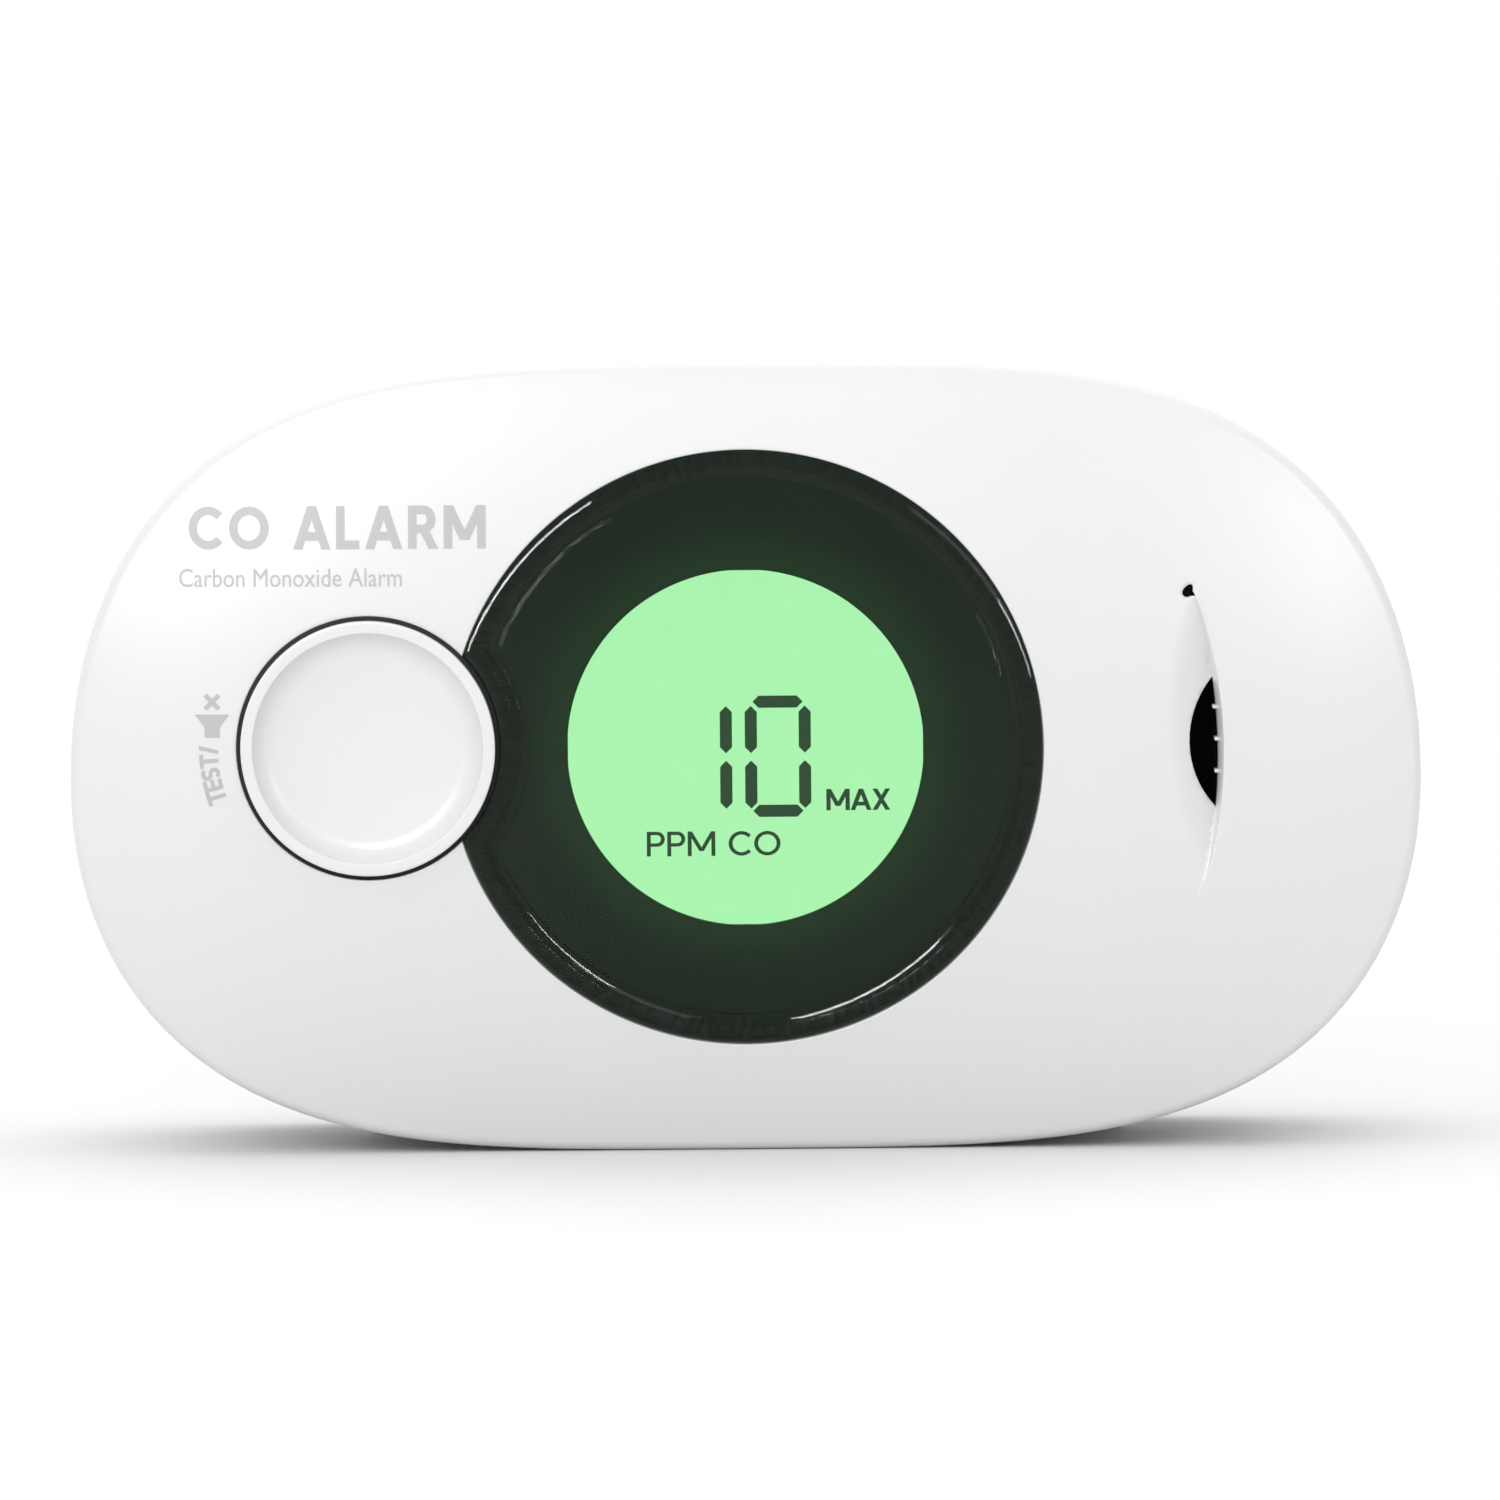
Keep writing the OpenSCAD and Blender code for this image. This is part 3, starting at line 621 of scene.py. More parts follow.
def gill(b):
    """A smooth scoop that ends at a curved lip, with a slit under the lip that runs up into the pinhole. Gives
    the slit's loop in the front face, and the loops where the vent's and the pinhole's walls end inside."""
    z0, z1 = solve(depth_at_lip, 20.0, 30.0), AXIS_Z + GILL_TOP
    zs = [z0 + (z1 - z0) * (1 - math.cos(math.pi * k / 72)) / 2 for k in range(73)]
    half = math.sqrt(VENT_R ** 2 - (VENT_X - lip_at(AXIS_Z + VENT_HALF_H)) ** 2)
    low = min(zs, key=lambda z: abs(z - AXIS_Z + half))
    high = min(zs, key=lambda z: abs(z - AXIS_Z - half))
    inner = zs[1:]
    tip = b.add(gill_point(lip_at(z0), case_face(lip_at(z0), z0), z0))
    lips = []
    for a in (0, 30, 60, 90):
        t = math.radians(a)
        ring = []
        for z in inner:
            lx = lip_at(z)
            r = LIP_ROUND * min(1.0, (gill_face(lx, z) - case_face(lx, z)) / BLEND)
            x = lx + r * (1 - math.sin(t))
            ring.append(b.add(gill_point(x, case_face(x, z) + r * (1 - math.cos(t)), z)))
        lips.append(ring)
    foot = [(x, gill_face(x, z), z) for x, z in ((under_lip(z), z) for z in inner)]
    low_lip = b.loop([gill_point(*p) for p in foot])
    b.chain([*lips, low_lip], closed=False)
    for ring_a, ring_b in zip(lips, [*lips[1:], low_lip]):
        b.f.append([ring_a[0], ring_b[0], tip])
    # the D-shaped vent between the lip and an arc on the scoop
    i0, i1 = inner.index(low), inner.index(high)
    mid_x, mid_r = solve_arc((foot[i0][0], low), (foot[i1][0], high), VENT_X - VENT_R)
    arc = []
    for k in range(1, 24):
        z = low + (high - low) * (1 - math.cos(math.pi * k / 24)) / 2
        arc.append((mid_x - math.sqrt(mid_r ** 2 - (z - (low + high) / 2) ** 2), z))
    arc_top = b.loop([gill_point(x, gill_face(x, z), z) for x, z in arc])
    vent_top = [*low_lip[i0:i1 + 1], *reversed(arc_top)]
    vent_xz = [xz(b.v[i]) for i in vent_top]
    vent_end = b.loop(at_depth(vent_xz, PAD))
    middle = np.mean(vent_xz, axis=0)
    spokes = [np.array(p) - middle for p in vent_xz]
    grown = [tuple(middle + d * (1 + VENT_WALL / max(1.0, np.linalg.norm(d)))) for d in spokes]
    collar = b.loop(at_depth(grown, PAD))
    collar_end = b.loop(at_depth(grown, below(WALL)))
    b.chain([vent_top, vent_end, collar, collar_end])
    drop = b.loop(at_depth(drop_outline(), front_depth))
    pin_top = [*drop, *[ring[-1] for ring in lips], low_lip[-1]]
    pin_end = b.loop(at_depth([xz(b.v[i]) for i in pin_top], below(WALL)))
    b.strip(pin_top, pin_end)
    slit = [tip, *low_lip[:i0 + 1], *arc_top, *low_lip[i1:], *drop, *reversed(lips[0])]
    return slit, collar_end, pin_end


def vent_ribs(b):
    """Ends of the ribs across the vent, in the wall under the lip."""
    for rise in RIB_RISES:
        z = AXIS_Z + rise
        x = under_lip(z)
        shape = rounded_box(x - RIB_HALF_W, x + RIB_HALF_W, z - RIB_HALF_H, z + RIB_HALF_H, 0.06, 2)
        b.prism([b.loop([gill_point(px, y, pz) for px, pz in shape]) for y in (case_face(x, z) + 1.3, PAD)])


def front_housing():
    b = Build()
    # rim, from the broken edge at the parting line round to the front face
    rim_start = RIM + 0.7 * RIM_R
    broken_edge = (0.5, 0.2), (0.12, 0.2), (0.04, 0.24), (0.0, 0.35)
    rings = [case_ring(b, DRAFT + d, PART - y) for d, y in broken_edge]
    rings.append(case_ring(b, DRAFT * 0.5, (PART + rim_start) / 2))
    for a in range(0, 73, 9):
        t = math.radians(a)
        rings.append(case_ring(b, RIM_R * (1 - math.cos(t)), rim_start - RIM_R * math.sin(t)))
    edge = case_ring(b, 1.15, below(0))
    rings.append(edge)
    b.chain(rings)
    # joined opening for the lens and the button, with a small rounded edge
    lip = 0.15
    mouth = []
    for a in (0, 22, 45, 67, 90):
        t = math.radians(a)
        mouth.append(b.loop(at_depth(hole_outline(lip * (1 - math.sin(t))), below(lip * (1 - math.cos(t))))))
    near = b.loop(at_depth(hole_outline(lip + 0.3), below(0)))
    b.strip(near, mouth[0])
    # ledge at the bottom of the opening
    floor_loop = b.loop(at_depth(hole_outline(0), SEAT))
    floor_end = b.loop(at_depth(hole_outline(WELL_WALL), SEAT + LEDGE))
    inner_open = b.loop(at_depth(hole_outline(WELL_WALL), below(WALL)))
    holes = [circle(BUTTON_X, BUTTON_Z, STEM_HOLE_R, 48),
             circle(BUTTON_X + GUIDE_RUN, BUTTON_Z, GUIDE_HOLE_R, 24), ledge_window()]
    fronts = [b.loop(at_depth(p, SEAT)) for p in holes]
    backs = [b.loop(at_depth(p, SEAT + LEDGE)) for p in holes]
    b.chain([*mouth, floor_loop])
    for pair in zip(fronts, backs):
        b.strip(*pair)
    b.patch([floor_loop, *fronts], xz)
    b.patch([floor_end, *backs], xz)
    b.strip(floor_end, inner_open)
    slit, collar_end, pin_end = gill(b)
    b.patch([edge, near, slit], xz, lambda x, z: (x, front_depth(x, z), z), 1.0, front_normal, GILL_FINE)
    # inside
    inner_edge = case_ring(b, 3.2, below(WALL))
    b.chain([rings[0], case_ring(b, DRAFT + WALL, PART - 0.2), case_ring(b, WALL, RIM + WALL), inner_edge])
    b.patch([inner_edge, inner_open, collar_end, pin_end], xz, lambda x, z: (x, below(WALL)(x, z), z), 3.0)
    vent_ribs(b)
    b.make("front_shell", 32, stands_for=["front_housing"], material=WHITE)


def solve_arc(a, c, left):
    """Centre and radius of the arc through a and c whose leftmost point is at left."""
    half = (c[1] - a[1]) / 2
    run = a[0] - left
    r = (half * half + run * run) / (2 * run)
    return left + r, r


front_housing()


# ---- Rear housing ----

TRAY_END = BACK - BACK_R
REAR_START = PART + 0.2
INNER_BACK = BACK - WALL
VENT_PITCH = 3.2
TOP_VENTS = [side * (20 + VENT_PITCH * k) for side in (-1, 1) for k in range(7)]
BASE_VENTS = [VENT_PITCH * k for k in range(-4, 5)]
VENT_SLOT = (-0.7, 0.7, 6.5, 12)         # x about its own middle, then y
TOP_RUN, BASE_RUN = (44, 148), (270, 306)   # the outline's points between which the vents lie
SCREWS = [(x, z) for x in (-47, 47) for z in (18, 50)]
COUNTERBORE_R, COUNTERBORE = 3.1, 3.6    # radius and depth
SHANK_R, POST_R, BOSS_R, BOSS_Y = 1.6, 3.2, 3.8, 4.0
KEYHOLES, KEYHOLE_Z, KEYHOLE_END = (-30, 30), 38, 45
KEYHOLE_R, KEYHOLE_SLOT_R = 4.0, 2.1
POCKET_R, POCKET, POCKET_WALL = 4.3, 4.4, 1.4   # room for a screw's head behind a keyhole
SLIDER_RECESS, SLIDER_DEPTH = (-8, 8, 51, 57), 1.2
SLIDER_SLOT = (-3.6, 3.6, 52.7, 55.3)
LABEL_RECESS, LABEL_DEPTH = (-22, 22, 13, 43), 0.3
FEET, FOOT = (-27, 27), (-7, 7, 5, 14)   # places, then each foot's x about its own middle and its y
CELL_Y, CELL_Z, SADDLE_R = 6.1, 21.5, 8.7
SADDLES, SADDLE_W, SADDLE_HALF_H, SADDLE_FRONT = (-4, 16.5), 3, 8, 10


def grown_box(box, r):
    """A rounded box as a function of the amount that it is grown by."""
    x0, x1, z0, z1 = box
    return lambda g: rounded_box(x0 - g, x1 + g, z0 - g, z1 + g, r + g)


def tray_inset(y, depth):
    """How far in the tray's wall stands, at a depth below its surface."""
    return REAR_INSET + depth + 0.1 * (y - REAR_START) / (TRAY_END - REAR_START)


def tray_point(x, y, depth, side):
    """A point of the tray's top (side 1) or underside (side -1), sunk into its wall by depth."""
    inset = tray_inset(y, depth)
    return x, y, outline(inset, side * math.acos(x / (HALF_W - inset)))[1]


def tray_slot(b, x, side):
    """Rings of a vent slot through the wall, from the outside in, with a broken edge."""
    rings = []
    for grow, depth in ((0.15, 0.0), (0.04, 0.04), (0.0, 0.15), (0.0, WALL)):
        shape = grown_box(VENT_SLOT, 0.6)(grow)
        rings.append(b.loop([tray_point(x + px, y, depth, side) for px, y in shape]))
    b.chain(rings)
    return rings[0], rings[-1]


def pocket_outline(x, r):
    """A slot with round ends, as long as the keyhole."""
    turns = [math.pi * k / 24 for k in range(25)]
    return [(x + r * math.cos(t), KEYHOLE_END + r * math.sin(t)) for t in turns] \
        + [(x - r * math.cos(t), KEYHOLE_Z - r * math.sin(t)) for t in turns]


def keyhole(x, grow):
    big, little = KEYHOLE_R + grow, KEYHOLE_SLOT_R + grow
    a = math.asin(little / big)
    round_hole = [math.pi / 2 + a + (2 * math.pi - 2 * a) * k / 48 for k in range(49)]
    round_end = [math.pi * k / 20 for k in range(21)]
    return [(x + big * math.cos(t), KEYHOLE_Z + big * math.sin(t)) for t in round_hole] \
        + [(x + little * math.cos(t), KEYHOLE_END + little * math.sin(t)) for t in round_end]


def sunk(b, shape, floor_y):
    """A hole in the flat back with a broken edge. shape gives its outline for an amount it is grown by."""
    broken_edge = (0.14, 0.0), (0.04, 0.04), (0.0, 0.14)
    rings = [b.loop(at_depth(shape(grow), BACK - depth)) for grow, depth in broken_edge]
    rings.append(b.loop(at_depth(shape(0.0), floor_y)))
    b.chain(rings)
    for i in rings[0]:
        b.fixed[i] = (0, 1, 0)
    return rings[0], rings[-1]


def tray(b):
    """Outside and inside walls of the rear housing, with their vents. Gives the loops of the flat back."""
    outer_lead = case_ring(b, REAR_INSET, REAR_START + 0.15)
    inner_lead = case_ring(b, REAR_INSET + WALL, REAR_START)
    b.chain([inner_lead, case_ring(b, REAR_INSET + 0.13, REAR_START),
             case_ring(b, REAR_INSET + 0.03, REAR_START + 0.04), outer_lead])
    flats, slots = [], {}
    runs = (1, TOP_RUN, TOP_VENTS), (-1, BASE_RUN, BASE_VENTS)
    left, right, rest = slice(TOP_RUN[1], BASE_RUN[0] + 1), slice(BASE_RUN[1], None), slice(TOP_RUN[0] + 1)
    for r, depth, lead in ((BACK_R, 0.0, outer_lead), (BACK_R - WALL, WALL, inner_lead)):
        rings = []
        for a in range(0, 91, 9):
            t = math.radians(a)
            inset = REAR_INSET + 0.1 + BACK_R - r * math.cos(t)
            rings.append(case_ring(b, inset, BACK - depth - r + r * math.sin(t)))
        b.chain(rings)
        flats.append(rings[-1])
        for i in rings[-1]:
            b.fixed[i] = (0, 1 if depth == 0 else -1, 0)
        tail = rings[0]
        if depth == 0:
            slots = {side: [tray_slot(b, x, side) for x in places] for side, _, places in runs}
        for side, (i0, i1), _ in runs:
            holes = [s[0 if depth == 0 else 1] for s in slots[side]]
            b.patch([[*lead[i0:i1 + 1], *reversed(tail[i0:i1 + 1])], *holes], lambda p: (p[0], p[1]),
                    lambda x, y: tray_point(x, y, depth, side), 1.3)
        b.strip(lead[left], tail[left], closed=False)
        b.strip(lead[right] + lead[rest], tail[right] + tail[rest], closed=False)
    return flats


def flat_back(b, outside, inside_back):
    """Screw counterbores, wall-hanging keyholes, and the recesses of the slider and of the label."""
    holes, inner_holes = [], []
    for x, z in SCREWS:
        top, low = sunk(b, lambda g: circle(x, z, COUNTERBORE_R + g, 64), BACK - COUNTERBORE)
        post_end = REAR_START - 0.35
        steps = ((SHANK_R, BACK - COUNTERBORE), (SHANK_R, post_end), (POST_R, post_end), (POST_R, BOSS_Y),
                 (BOSS_R, BOSS_Y), (BOSS_R, INNER_BACK))
        rings = [b.loop(at_depth(circle(x, z, r, 64), y)) for r, y in steps]
        b.chain([low, *rings])
        holes.append(top)
        inner_holes.append(rings[-1])
    for x in KEYHOLES:
        top, low = sunk(b, lambda g: keyhole(x, g), INNER_BACK)
        pocket = [b.loop(at_depth(pocket_outline(x, POCKET_R), y)) for y in (INNER_BACK, INNER_BACK - POCKET)]
        b.patch([low, pocket[0]], xz)
        b.strip(*pocket)
        b.cap(pocket[1])
        box = [b.loop(at_depth(pocket_outline(x, POCKET_R + POCKET_WALL), y))
               for y in (INNER_BACK - POCKET - POCKET_WALL, INNER_BACK)]
        b.cap(box[0])
        b.strip(*box)
        holes.append(top)
        inner_holes.append(box[1])
    top, low = sunk(b, grown_box(SLIDER_RECESS, 0.6), BACK - SLIDER_DEPTH)
    slot = [b.loop(at_depth(rounded_box(*SLIDER_SLOT, 0.4), y)) for y in (BACK - SLIDER_DEPTH, INNER_BACK)]
    b.patch([low, slot[0]], xz)
    b.strip(*slot)
    holes.append(top)
    inner_holes.append(slot[1])
    top, low = sunk(b, grown_box(LABEL_RECESS, 1.1), BACK - LABEL_DEPTH)
    b.cap(low)
    holes.append(top)
    b.patch([outside, *holes], xz)
    b.patch([inside_back, *inner_holes], xz)


def rear_housing():
    b = Build()
    flat_back(b, *tray(b))
    # tongue that stands inside the front housing
    section = (0.15, -2), (0.15, 3), (1.35, 3), (1.35, -2)
    tongue = [case_ring(b, DRAFT + WALL + d, PART + y) for d, y in section]
    b.chain([*tongue, tongue[0]])
    for x in FEET:
        rings = []
        for inset, z in ((0.5, 0.0), (0.15, 0.13), (0.0, 0.5), (0.0, 3.4)):
            shape = grown_box(FOOT, 1.5 + inset * 0.4)(-inset)
            rings.append(b.loop([(x + px, y, z) for px, y in shape]))
        b.chain(rings)
        b.cap(rings[0], (0, 1))
        b.cap(rings[-1], (0, 1))
    # saddles that hold the cell
    for x0 in SADDLES:
        arc = [(CELL_Y + SADDLE_R * math.cos(t), CELL_Z + SADDLE_R * math.sin(t))
               for t in np.linspace(1.105, -1.105, 24)]
        low, high, root = CELL_Z - SADDLE_HALF_H, CELL_Z + SADDLE_HALF_H, INNER_BACK + 0.3
        shape = [(root, low), (root, high), (SADDLE_FRONT, high), *arc, (SADDLE_FRONT, low)]
        b.prism([b.loop([(x, y, z) for y, z in shape]) for x in (x0, x0 + SADDLE_W)], (1, 2))
    b.make("rear_shell", 32, stands_for=["rear_housing"], material=REAR_WHITE)


rear_housing()


def vent_filter():
    """Black filter cloth behind the gill, woven from crossing threads, and a drop of black cloth in the
    pinhole that is painted shade, standing in for the dark inside of the hole.
    """
    b = Build()
    lo, hi = mm_box("sounder_mesh")
    ring = rounded_box(lo[0], hi[0], lo[2], hi[2], 0.5)
    pitch, thread = 0.9, 0.12

    def weave(x, z):
        across, up = abs(math.sin(math.pi * x / pitch)), abs(math.sin(math.pi * z / pitch))
        return lo[1] + thread * (1 - max(across, up) ** 3)

    edge = b.loop(at_depth(ring, lo[1] + thread))
    back = b.loop(at_depth(ring, hi[1]))
    b.strip(edge, back)
    b.cap(back)
    b.patch([edge], xz, lambda x, z: (x, weave(x, z), z), 0.22)
    b.make("vent_filter", 60, stands_for=["sounder_mesh"], material=CLOTH_AND_PIN_SHADE)
    b = Build()
    # painted shade: a black drop set 0.45 to 0.75 mm inside the pinhole, standing in for the shade in the hole
    b.prism([b.loop(at_depth(drop_outline(), lambda x, z: front_depth(x, z) + d)) for d in (0.45, 0.75)])
    b.make("pinhole_shade_plug", 40, material=CLOTH_AND_PIN_SHADE)


vent_filter()


# ---- Lens ----

LENS_STEPS, BITE_STEPS = 300, 100


def bite_outline(inset):
    """The lens outline moved in by inset."""
    return two_rounds(LENS_R - inset, WELL_R + inset, True, LENS_STEPS, BITE_STEPS)


# The lens edge in section: distance in from the edge and slope in degrees. A raised bead falls to a groove,
# and a small step rises from it to the lens proper.
EDGE = ((0.0, 50), (0.1, 35), (0.15, 17), (1.2, -4), (1.4, -8), (1.5, -34), (1.58, -35), (2.2, -24),
        (2.28, 0), (2.5, 0), (2.58, 35), (2.66, 35), (2.75, 8), (2.95, 2))
EDGE_W = EDGE[-1][0]
EDGE_STEP = 0.01
EDGE_D = np.arange(0, EDGE_W + EDGE_STEP / 2, EDGE_STEP)
EDGE_SLOPE = np.tan(np.radians(np.interp(EDGE_D, *zip(*EDGE))))
EDGE_H = np.concatenate([[0], np.cumsum((EDGE_SLOPE[1:] + EDGE_SLOPE[:-1]) / 2 * EDGE_STEP)])
FADE = 5.0                               # width over which the lens comes back to the level of the face
LENS_T = 1.9


def bead(d):
    """Height of the lens edge above the front face, and its slope, at a distance in from the lens outline."""
    if d <= EDGE_W:
        return float(np.interp(d, EDGE_D, EDGE_H)), float(np.interp(d, EDGE_D, EDGE_SLOPE))
    left = max(0.0, 1 - (d - EDGE_W) / FADE)
    return EDGE_H[-1] * left * left, -2 * EDGE_H[-1] * left / FADE


def display_lens():
    b = Build()
    rings = []
    between = {0.03, 0.06, 0.3, 0.5, 0.7, 0.9, 1.05, 1.3, 1.44, 1.47, 1.66, 1.75, 1.84, 1.93, 2.02, 2.11, 2.24,
               2.35, 2.54, 2.62, 2.7, 2.85, 3.2, 3.6, 4.2, 5.0, 6.0, 7.0, 7.95}
    for d in sorted({d for d, _ in EDGE} | between):
        height, slope = bead(d)
        ring = b.loop(at_depth(bite_outline(d), below(-height)))
        rings.append(ring)
        if d < 0.1:
            continue
        for k, i in enumerate(ring):
            x, z = b.v[i][0], b.v[i][2]
            out = np.array([x, z - AXIS_Z] if k < LENS_STEPS else [BUTTON_X - x, BUTTON_Z - z])
            out /= np.linalg.norm(out)
            n = face_normal(x, z)
            n = np.array([-n[0] / n[1] + slope * out[0], -1.0, -n[2] / n[1] + slope * out[1]])
            b.fixed[i] = n / np.linalg.norm(n)
    b.chain(rings)
    b.patch([rings[-1]], xz, lambda x, z: (x, below(0)(x, z), z), 1.0, face_normal)
    outside = len(b.f)
    under = [b.loop(at_depth(bite_outline(inset), y)) for inset, y in
             ((0.0, LENS_END), (LENS_T, LENS_END), (LENS_T + 0.2, below(LENS_T)))]
    b.chain([rings[0], *under])
    b.patch([under[-1]], xz, lambda x, z: (x, below(LENS_T)(x, z), z), 2.0)
    lens = b.make("lens", 40, stands_for=["display_lens"], material=LENS)
    lens.data.materials.append(LENS_INSIDE)
    for polygon in lens.data.polygons[outside:]:
        polygon.material_index = 1


display_lens()


# ---- Display plate, lit window and its digits ----

def display_surround():
    """Dark plate with the window of the lit display, a circle cut flat on four sides."""
    b = Build()
    r, flat, drop = 15.84, 15.78, 0.2
    cut = [[max(-flat, min(flat, q)) for q in p] for p in circle(0, 0, r, 240)]
    window = [(x, AXIS_Z - drop + z) for x, z in cut]
    outer = [b.loop(at_depth(bite_outline(0.15), y)) for y in (plate_lo[1], plate_hi[1])]
    inner = [b.loop(at_depth(window, y)) for y in (plate_lo[1], plate_hi[1])]
    b.strip(*outer)
    b.strip(*inner)
    for pair in zip(outer, inner):
        b.patch(pair, xz)
    b.make("display_plate", 35, stands_for=["display_surround"], material=PLATE)


display_surround()


def bar(b, x0, z0, x1, z1, w, y):
    """A segment of a digit, w wide, with pointed ends."""
    a, c = np.array([x0, z0]), np.array([x1, z1])
    u = (c - a) / np.linalg.norm(c - a) * w / 2
    n = np.array([-u[1], u[0]])
    pts = [a, a + u + n, c - u + n, c, c - u - n, a + u - n]
    near, back = b.loop(at_depth(pts, y)), b.loop(at_depth(pts, y + 0.03))
    b.strip(near, back)
    b.f += [near, back[::-1]]


def digits():
    """A one and a nought. Heights are taken from the lens's axis."""
    b = Build()
    y, w = LCD_Y - 0.04, 1.08
    for z0, z1 in ((-0.76, 3.45), (-5.7, -1.42)):
        for x in (-1.73, 0.49, 5.28):
            bar(b, x, AXIS_Z + z0, x, AXIS_Z + z1, w, y)
    for rise in (3.81, -5.91):
        bar(b, 0.65, AXIS_Z + rise, 5.12, AXIS_Z + rise, w, y)
    b.make("display_digits", 30, material=SEGMENT)


digits()


def ribbon(points, t):
    """Four-sided pieces of a line of thickness t, mitred where they meet."""
    p = np.array(points, float)
    along = np.diff(p, axis=0)
    along /= np.linalg.norm(along, axis=1)[:, None]
    n = np.column_stack([-along[:, 1], along[:, 0]])
    joint = [n[0], *[(a + b) / (1 + a @ b) for a, b in zip(n, n[1:])], n[-1]]
    if np.allclose(p[0], p[-1]):
        joint[0] = joint[-1] = (n[0] + n[-1]) / (1 + n[0] @ n[-1])
    left, right = p + np.array(joint) * t / 2, p - np.array(joint) * t / 2
    return [[left[k], left[k + 1], right[k + 1], right[k]] for k in range(len(along))]


def letter(name, t):
    """Width and strokes of a plain capital letter one unit high, drawn with strokes of thickness t."""
    h = t / 2

    def line(*points):
        return ribbon(points, t)

    def arc(x, z, rx, rz, start, end):
        turns = [math.radians(start + (end - start) * k / 20) for k in range(21)]
        return ribbon([(x + rx * math.cos(a), z + rz * math.sin(a)) for a in turns], t)

    def slant(x0, z0, x1, z1):
        e = h * math.hypot(x1 - x0, z1 - z0) / abs(z1 - z0)
        return [[np.array(q) for q in ((x0 - e, z0), (x0 + e, z0), (x1 + e, z1), (x1 - e, z1))]]

    stem = line((h, 0), (h, 1))
    waist = 0.46
    bowl = line((h, 1 - h), (0.36, 1 - h)) + line((h, waist), (0.36, waist)) \
        + arc(0.36, (1 - h + waist) / 2, 0.64 - h - 0.36, (1 - h - waist) / 2, 90, -90)
    turn = 0.25 - h / 2
    s_curve = [(0.31 + (0.31 - h) * math.cos(math.radians(a)), 0.5 + turn + turn * math.sin(math.radians(a)))
               for a in range(30, 270, 10)]
    s_curve += [(0.62 - x, 1 - z) for x, z in reversed([*s_curve, (0.31, 0.5)])]
    return {
        "A": (0.88, slant(h * 1.1, 0, 0.44, 1) + slant(0.88 - h * 1.1, 0, 0.44, 1)
              + line((0.2, 0.3), (0.68, 0.3))),
        "C": (0.82, arc(0.46, 0.5, 0.46 - h, 0.5 - h, 42, 318)),
        "E": (0.56, stem + [q for z in (h, 0.5, 1 - h) for q in line((0, z), (0.56, z))]),
        "L": (0.54, stem + line((0, h), (0.54, h))),
        "M": (0.98, stem + line((0.98 - h, 0), (0.98 - h, 1)) + slant(h * 1.1, 1, 0.49, 0.2)
              + slant(0.98 - h * 1.1, 1, 0.49, 0.2)),
        "O": (0.94, arc(0.47, 0.5, 0.47 - h, 0.5 - h, 0, 360)),
        "P": (0.64, stem + bowl),
        "R": (0.7, stem + bowl + slant(0.36, waist, 0.7 - h * 1.1, 0)),
        "S": (0.62, ribbon(s_curve, t)),
        "T": (0.68, line((0.34, 0), (0.34, 1)) + line((0, 1 - h), (0.68, 1 - h))),
        "X": (0.76, slant(h * 1.2, 0, 0.76 - h * 1.2, 1) + slant(h * 1.2, 1, 0.76 - h * 1.2, 0)),
        "/": (0.42, slant(h, 0, 0.42 - h, 1)),
        " ": (0.3, []),
    }[name]


def capitals(text, height, width, bold, wide=1.0):
    """Four-sided pieces of a line of capitals, from its lower left corner. wide stretches each letter."""
    letters = [letter(c, bold) for c in text]
    gap = (width / height / wide - sum(w for w, _ in letters)) / (len(text) - 1)
    pieces, x = [], 0.0
    for w, strokes in letters:
        pieces += [[(q + (x, 0)) * (height * wide, height) for q in s] for s in strokes]
        x += w + gap
    return pieces


def small_print(text, height, width):
    """The outlines of a line of text in Blender's own typeface, as four-sided and three-sided pieces."""
    curve = bpy.data.curves.new("small_print", "FONT")
    curve.body = text
    curve.resolution_u = 4
    source = placed("small_print", curve)
    mesh = bpy.data.meshes.new_from_object(source.evaluated_get(bpy.context.evaluated_depsgraph_get()))
    bpy.data.objects.remove(source)
    bpy.data.curves.remove(curve)
    co = np.array([v.co for v in mesh.vertices])[:, :2]
    co = (co - co.min(0)) / (co.max(0) - co.min(0)) * (width, height)
    pieces = [[co[i] for i in p.vertices] for p in mesh.polygons]
    bpy.data.meshes.remove(mesh)
    return pieces


def printed(name, pieces, place, y, material, proud=0.03, thick=0.05):
    """Flat pieces joined into one thin film. place turns a point of them into x and z. y is a depth or a
    function of x and z."""
    points = [Vector(q) for p in pieces for q in p]
    faces, start = [], 0
    for p in pieces:
        faces.append(list(range(start, start + len(p))))
        start += len(p)
    out = delaunay_2d_cdt(points, [], faces, 0, 1e-5)
    mids = np.array([np.mean([out[0][k] for k in t], axis=0) for t in out[2]])
    inked = np.any([inside(mids, [np.array(p)]) for p in pieces], axis=0)
    used = [t for t, ok in zip(out[2], inked) if ok]
    b = Build()
    spots = at_depth([place(*q) for q in out[0]], y)
    front = b.loop([(x, d - proud, z) for x, d, z in spots])
    back = b.loop([(x, d - proud + thick, z) for x, d, z in spots])
    b.f = [[front[i] for i in t] for t in used] + [[back[i] for i in reversed(t)] for t in used]
    sides = {(a, c) for t in used for a, c in zip(t, [*t[1:], t[0]])}
    b.f += [[front[c], front[a], back[a], back[c]] for a, c in sides if (c, a) not in sides]
    b.make(name, 30, material=material)


def at(x, z):
    """Places print with its lower left corner at x and z."""
    return lambda u, v: (x + u, z + v)


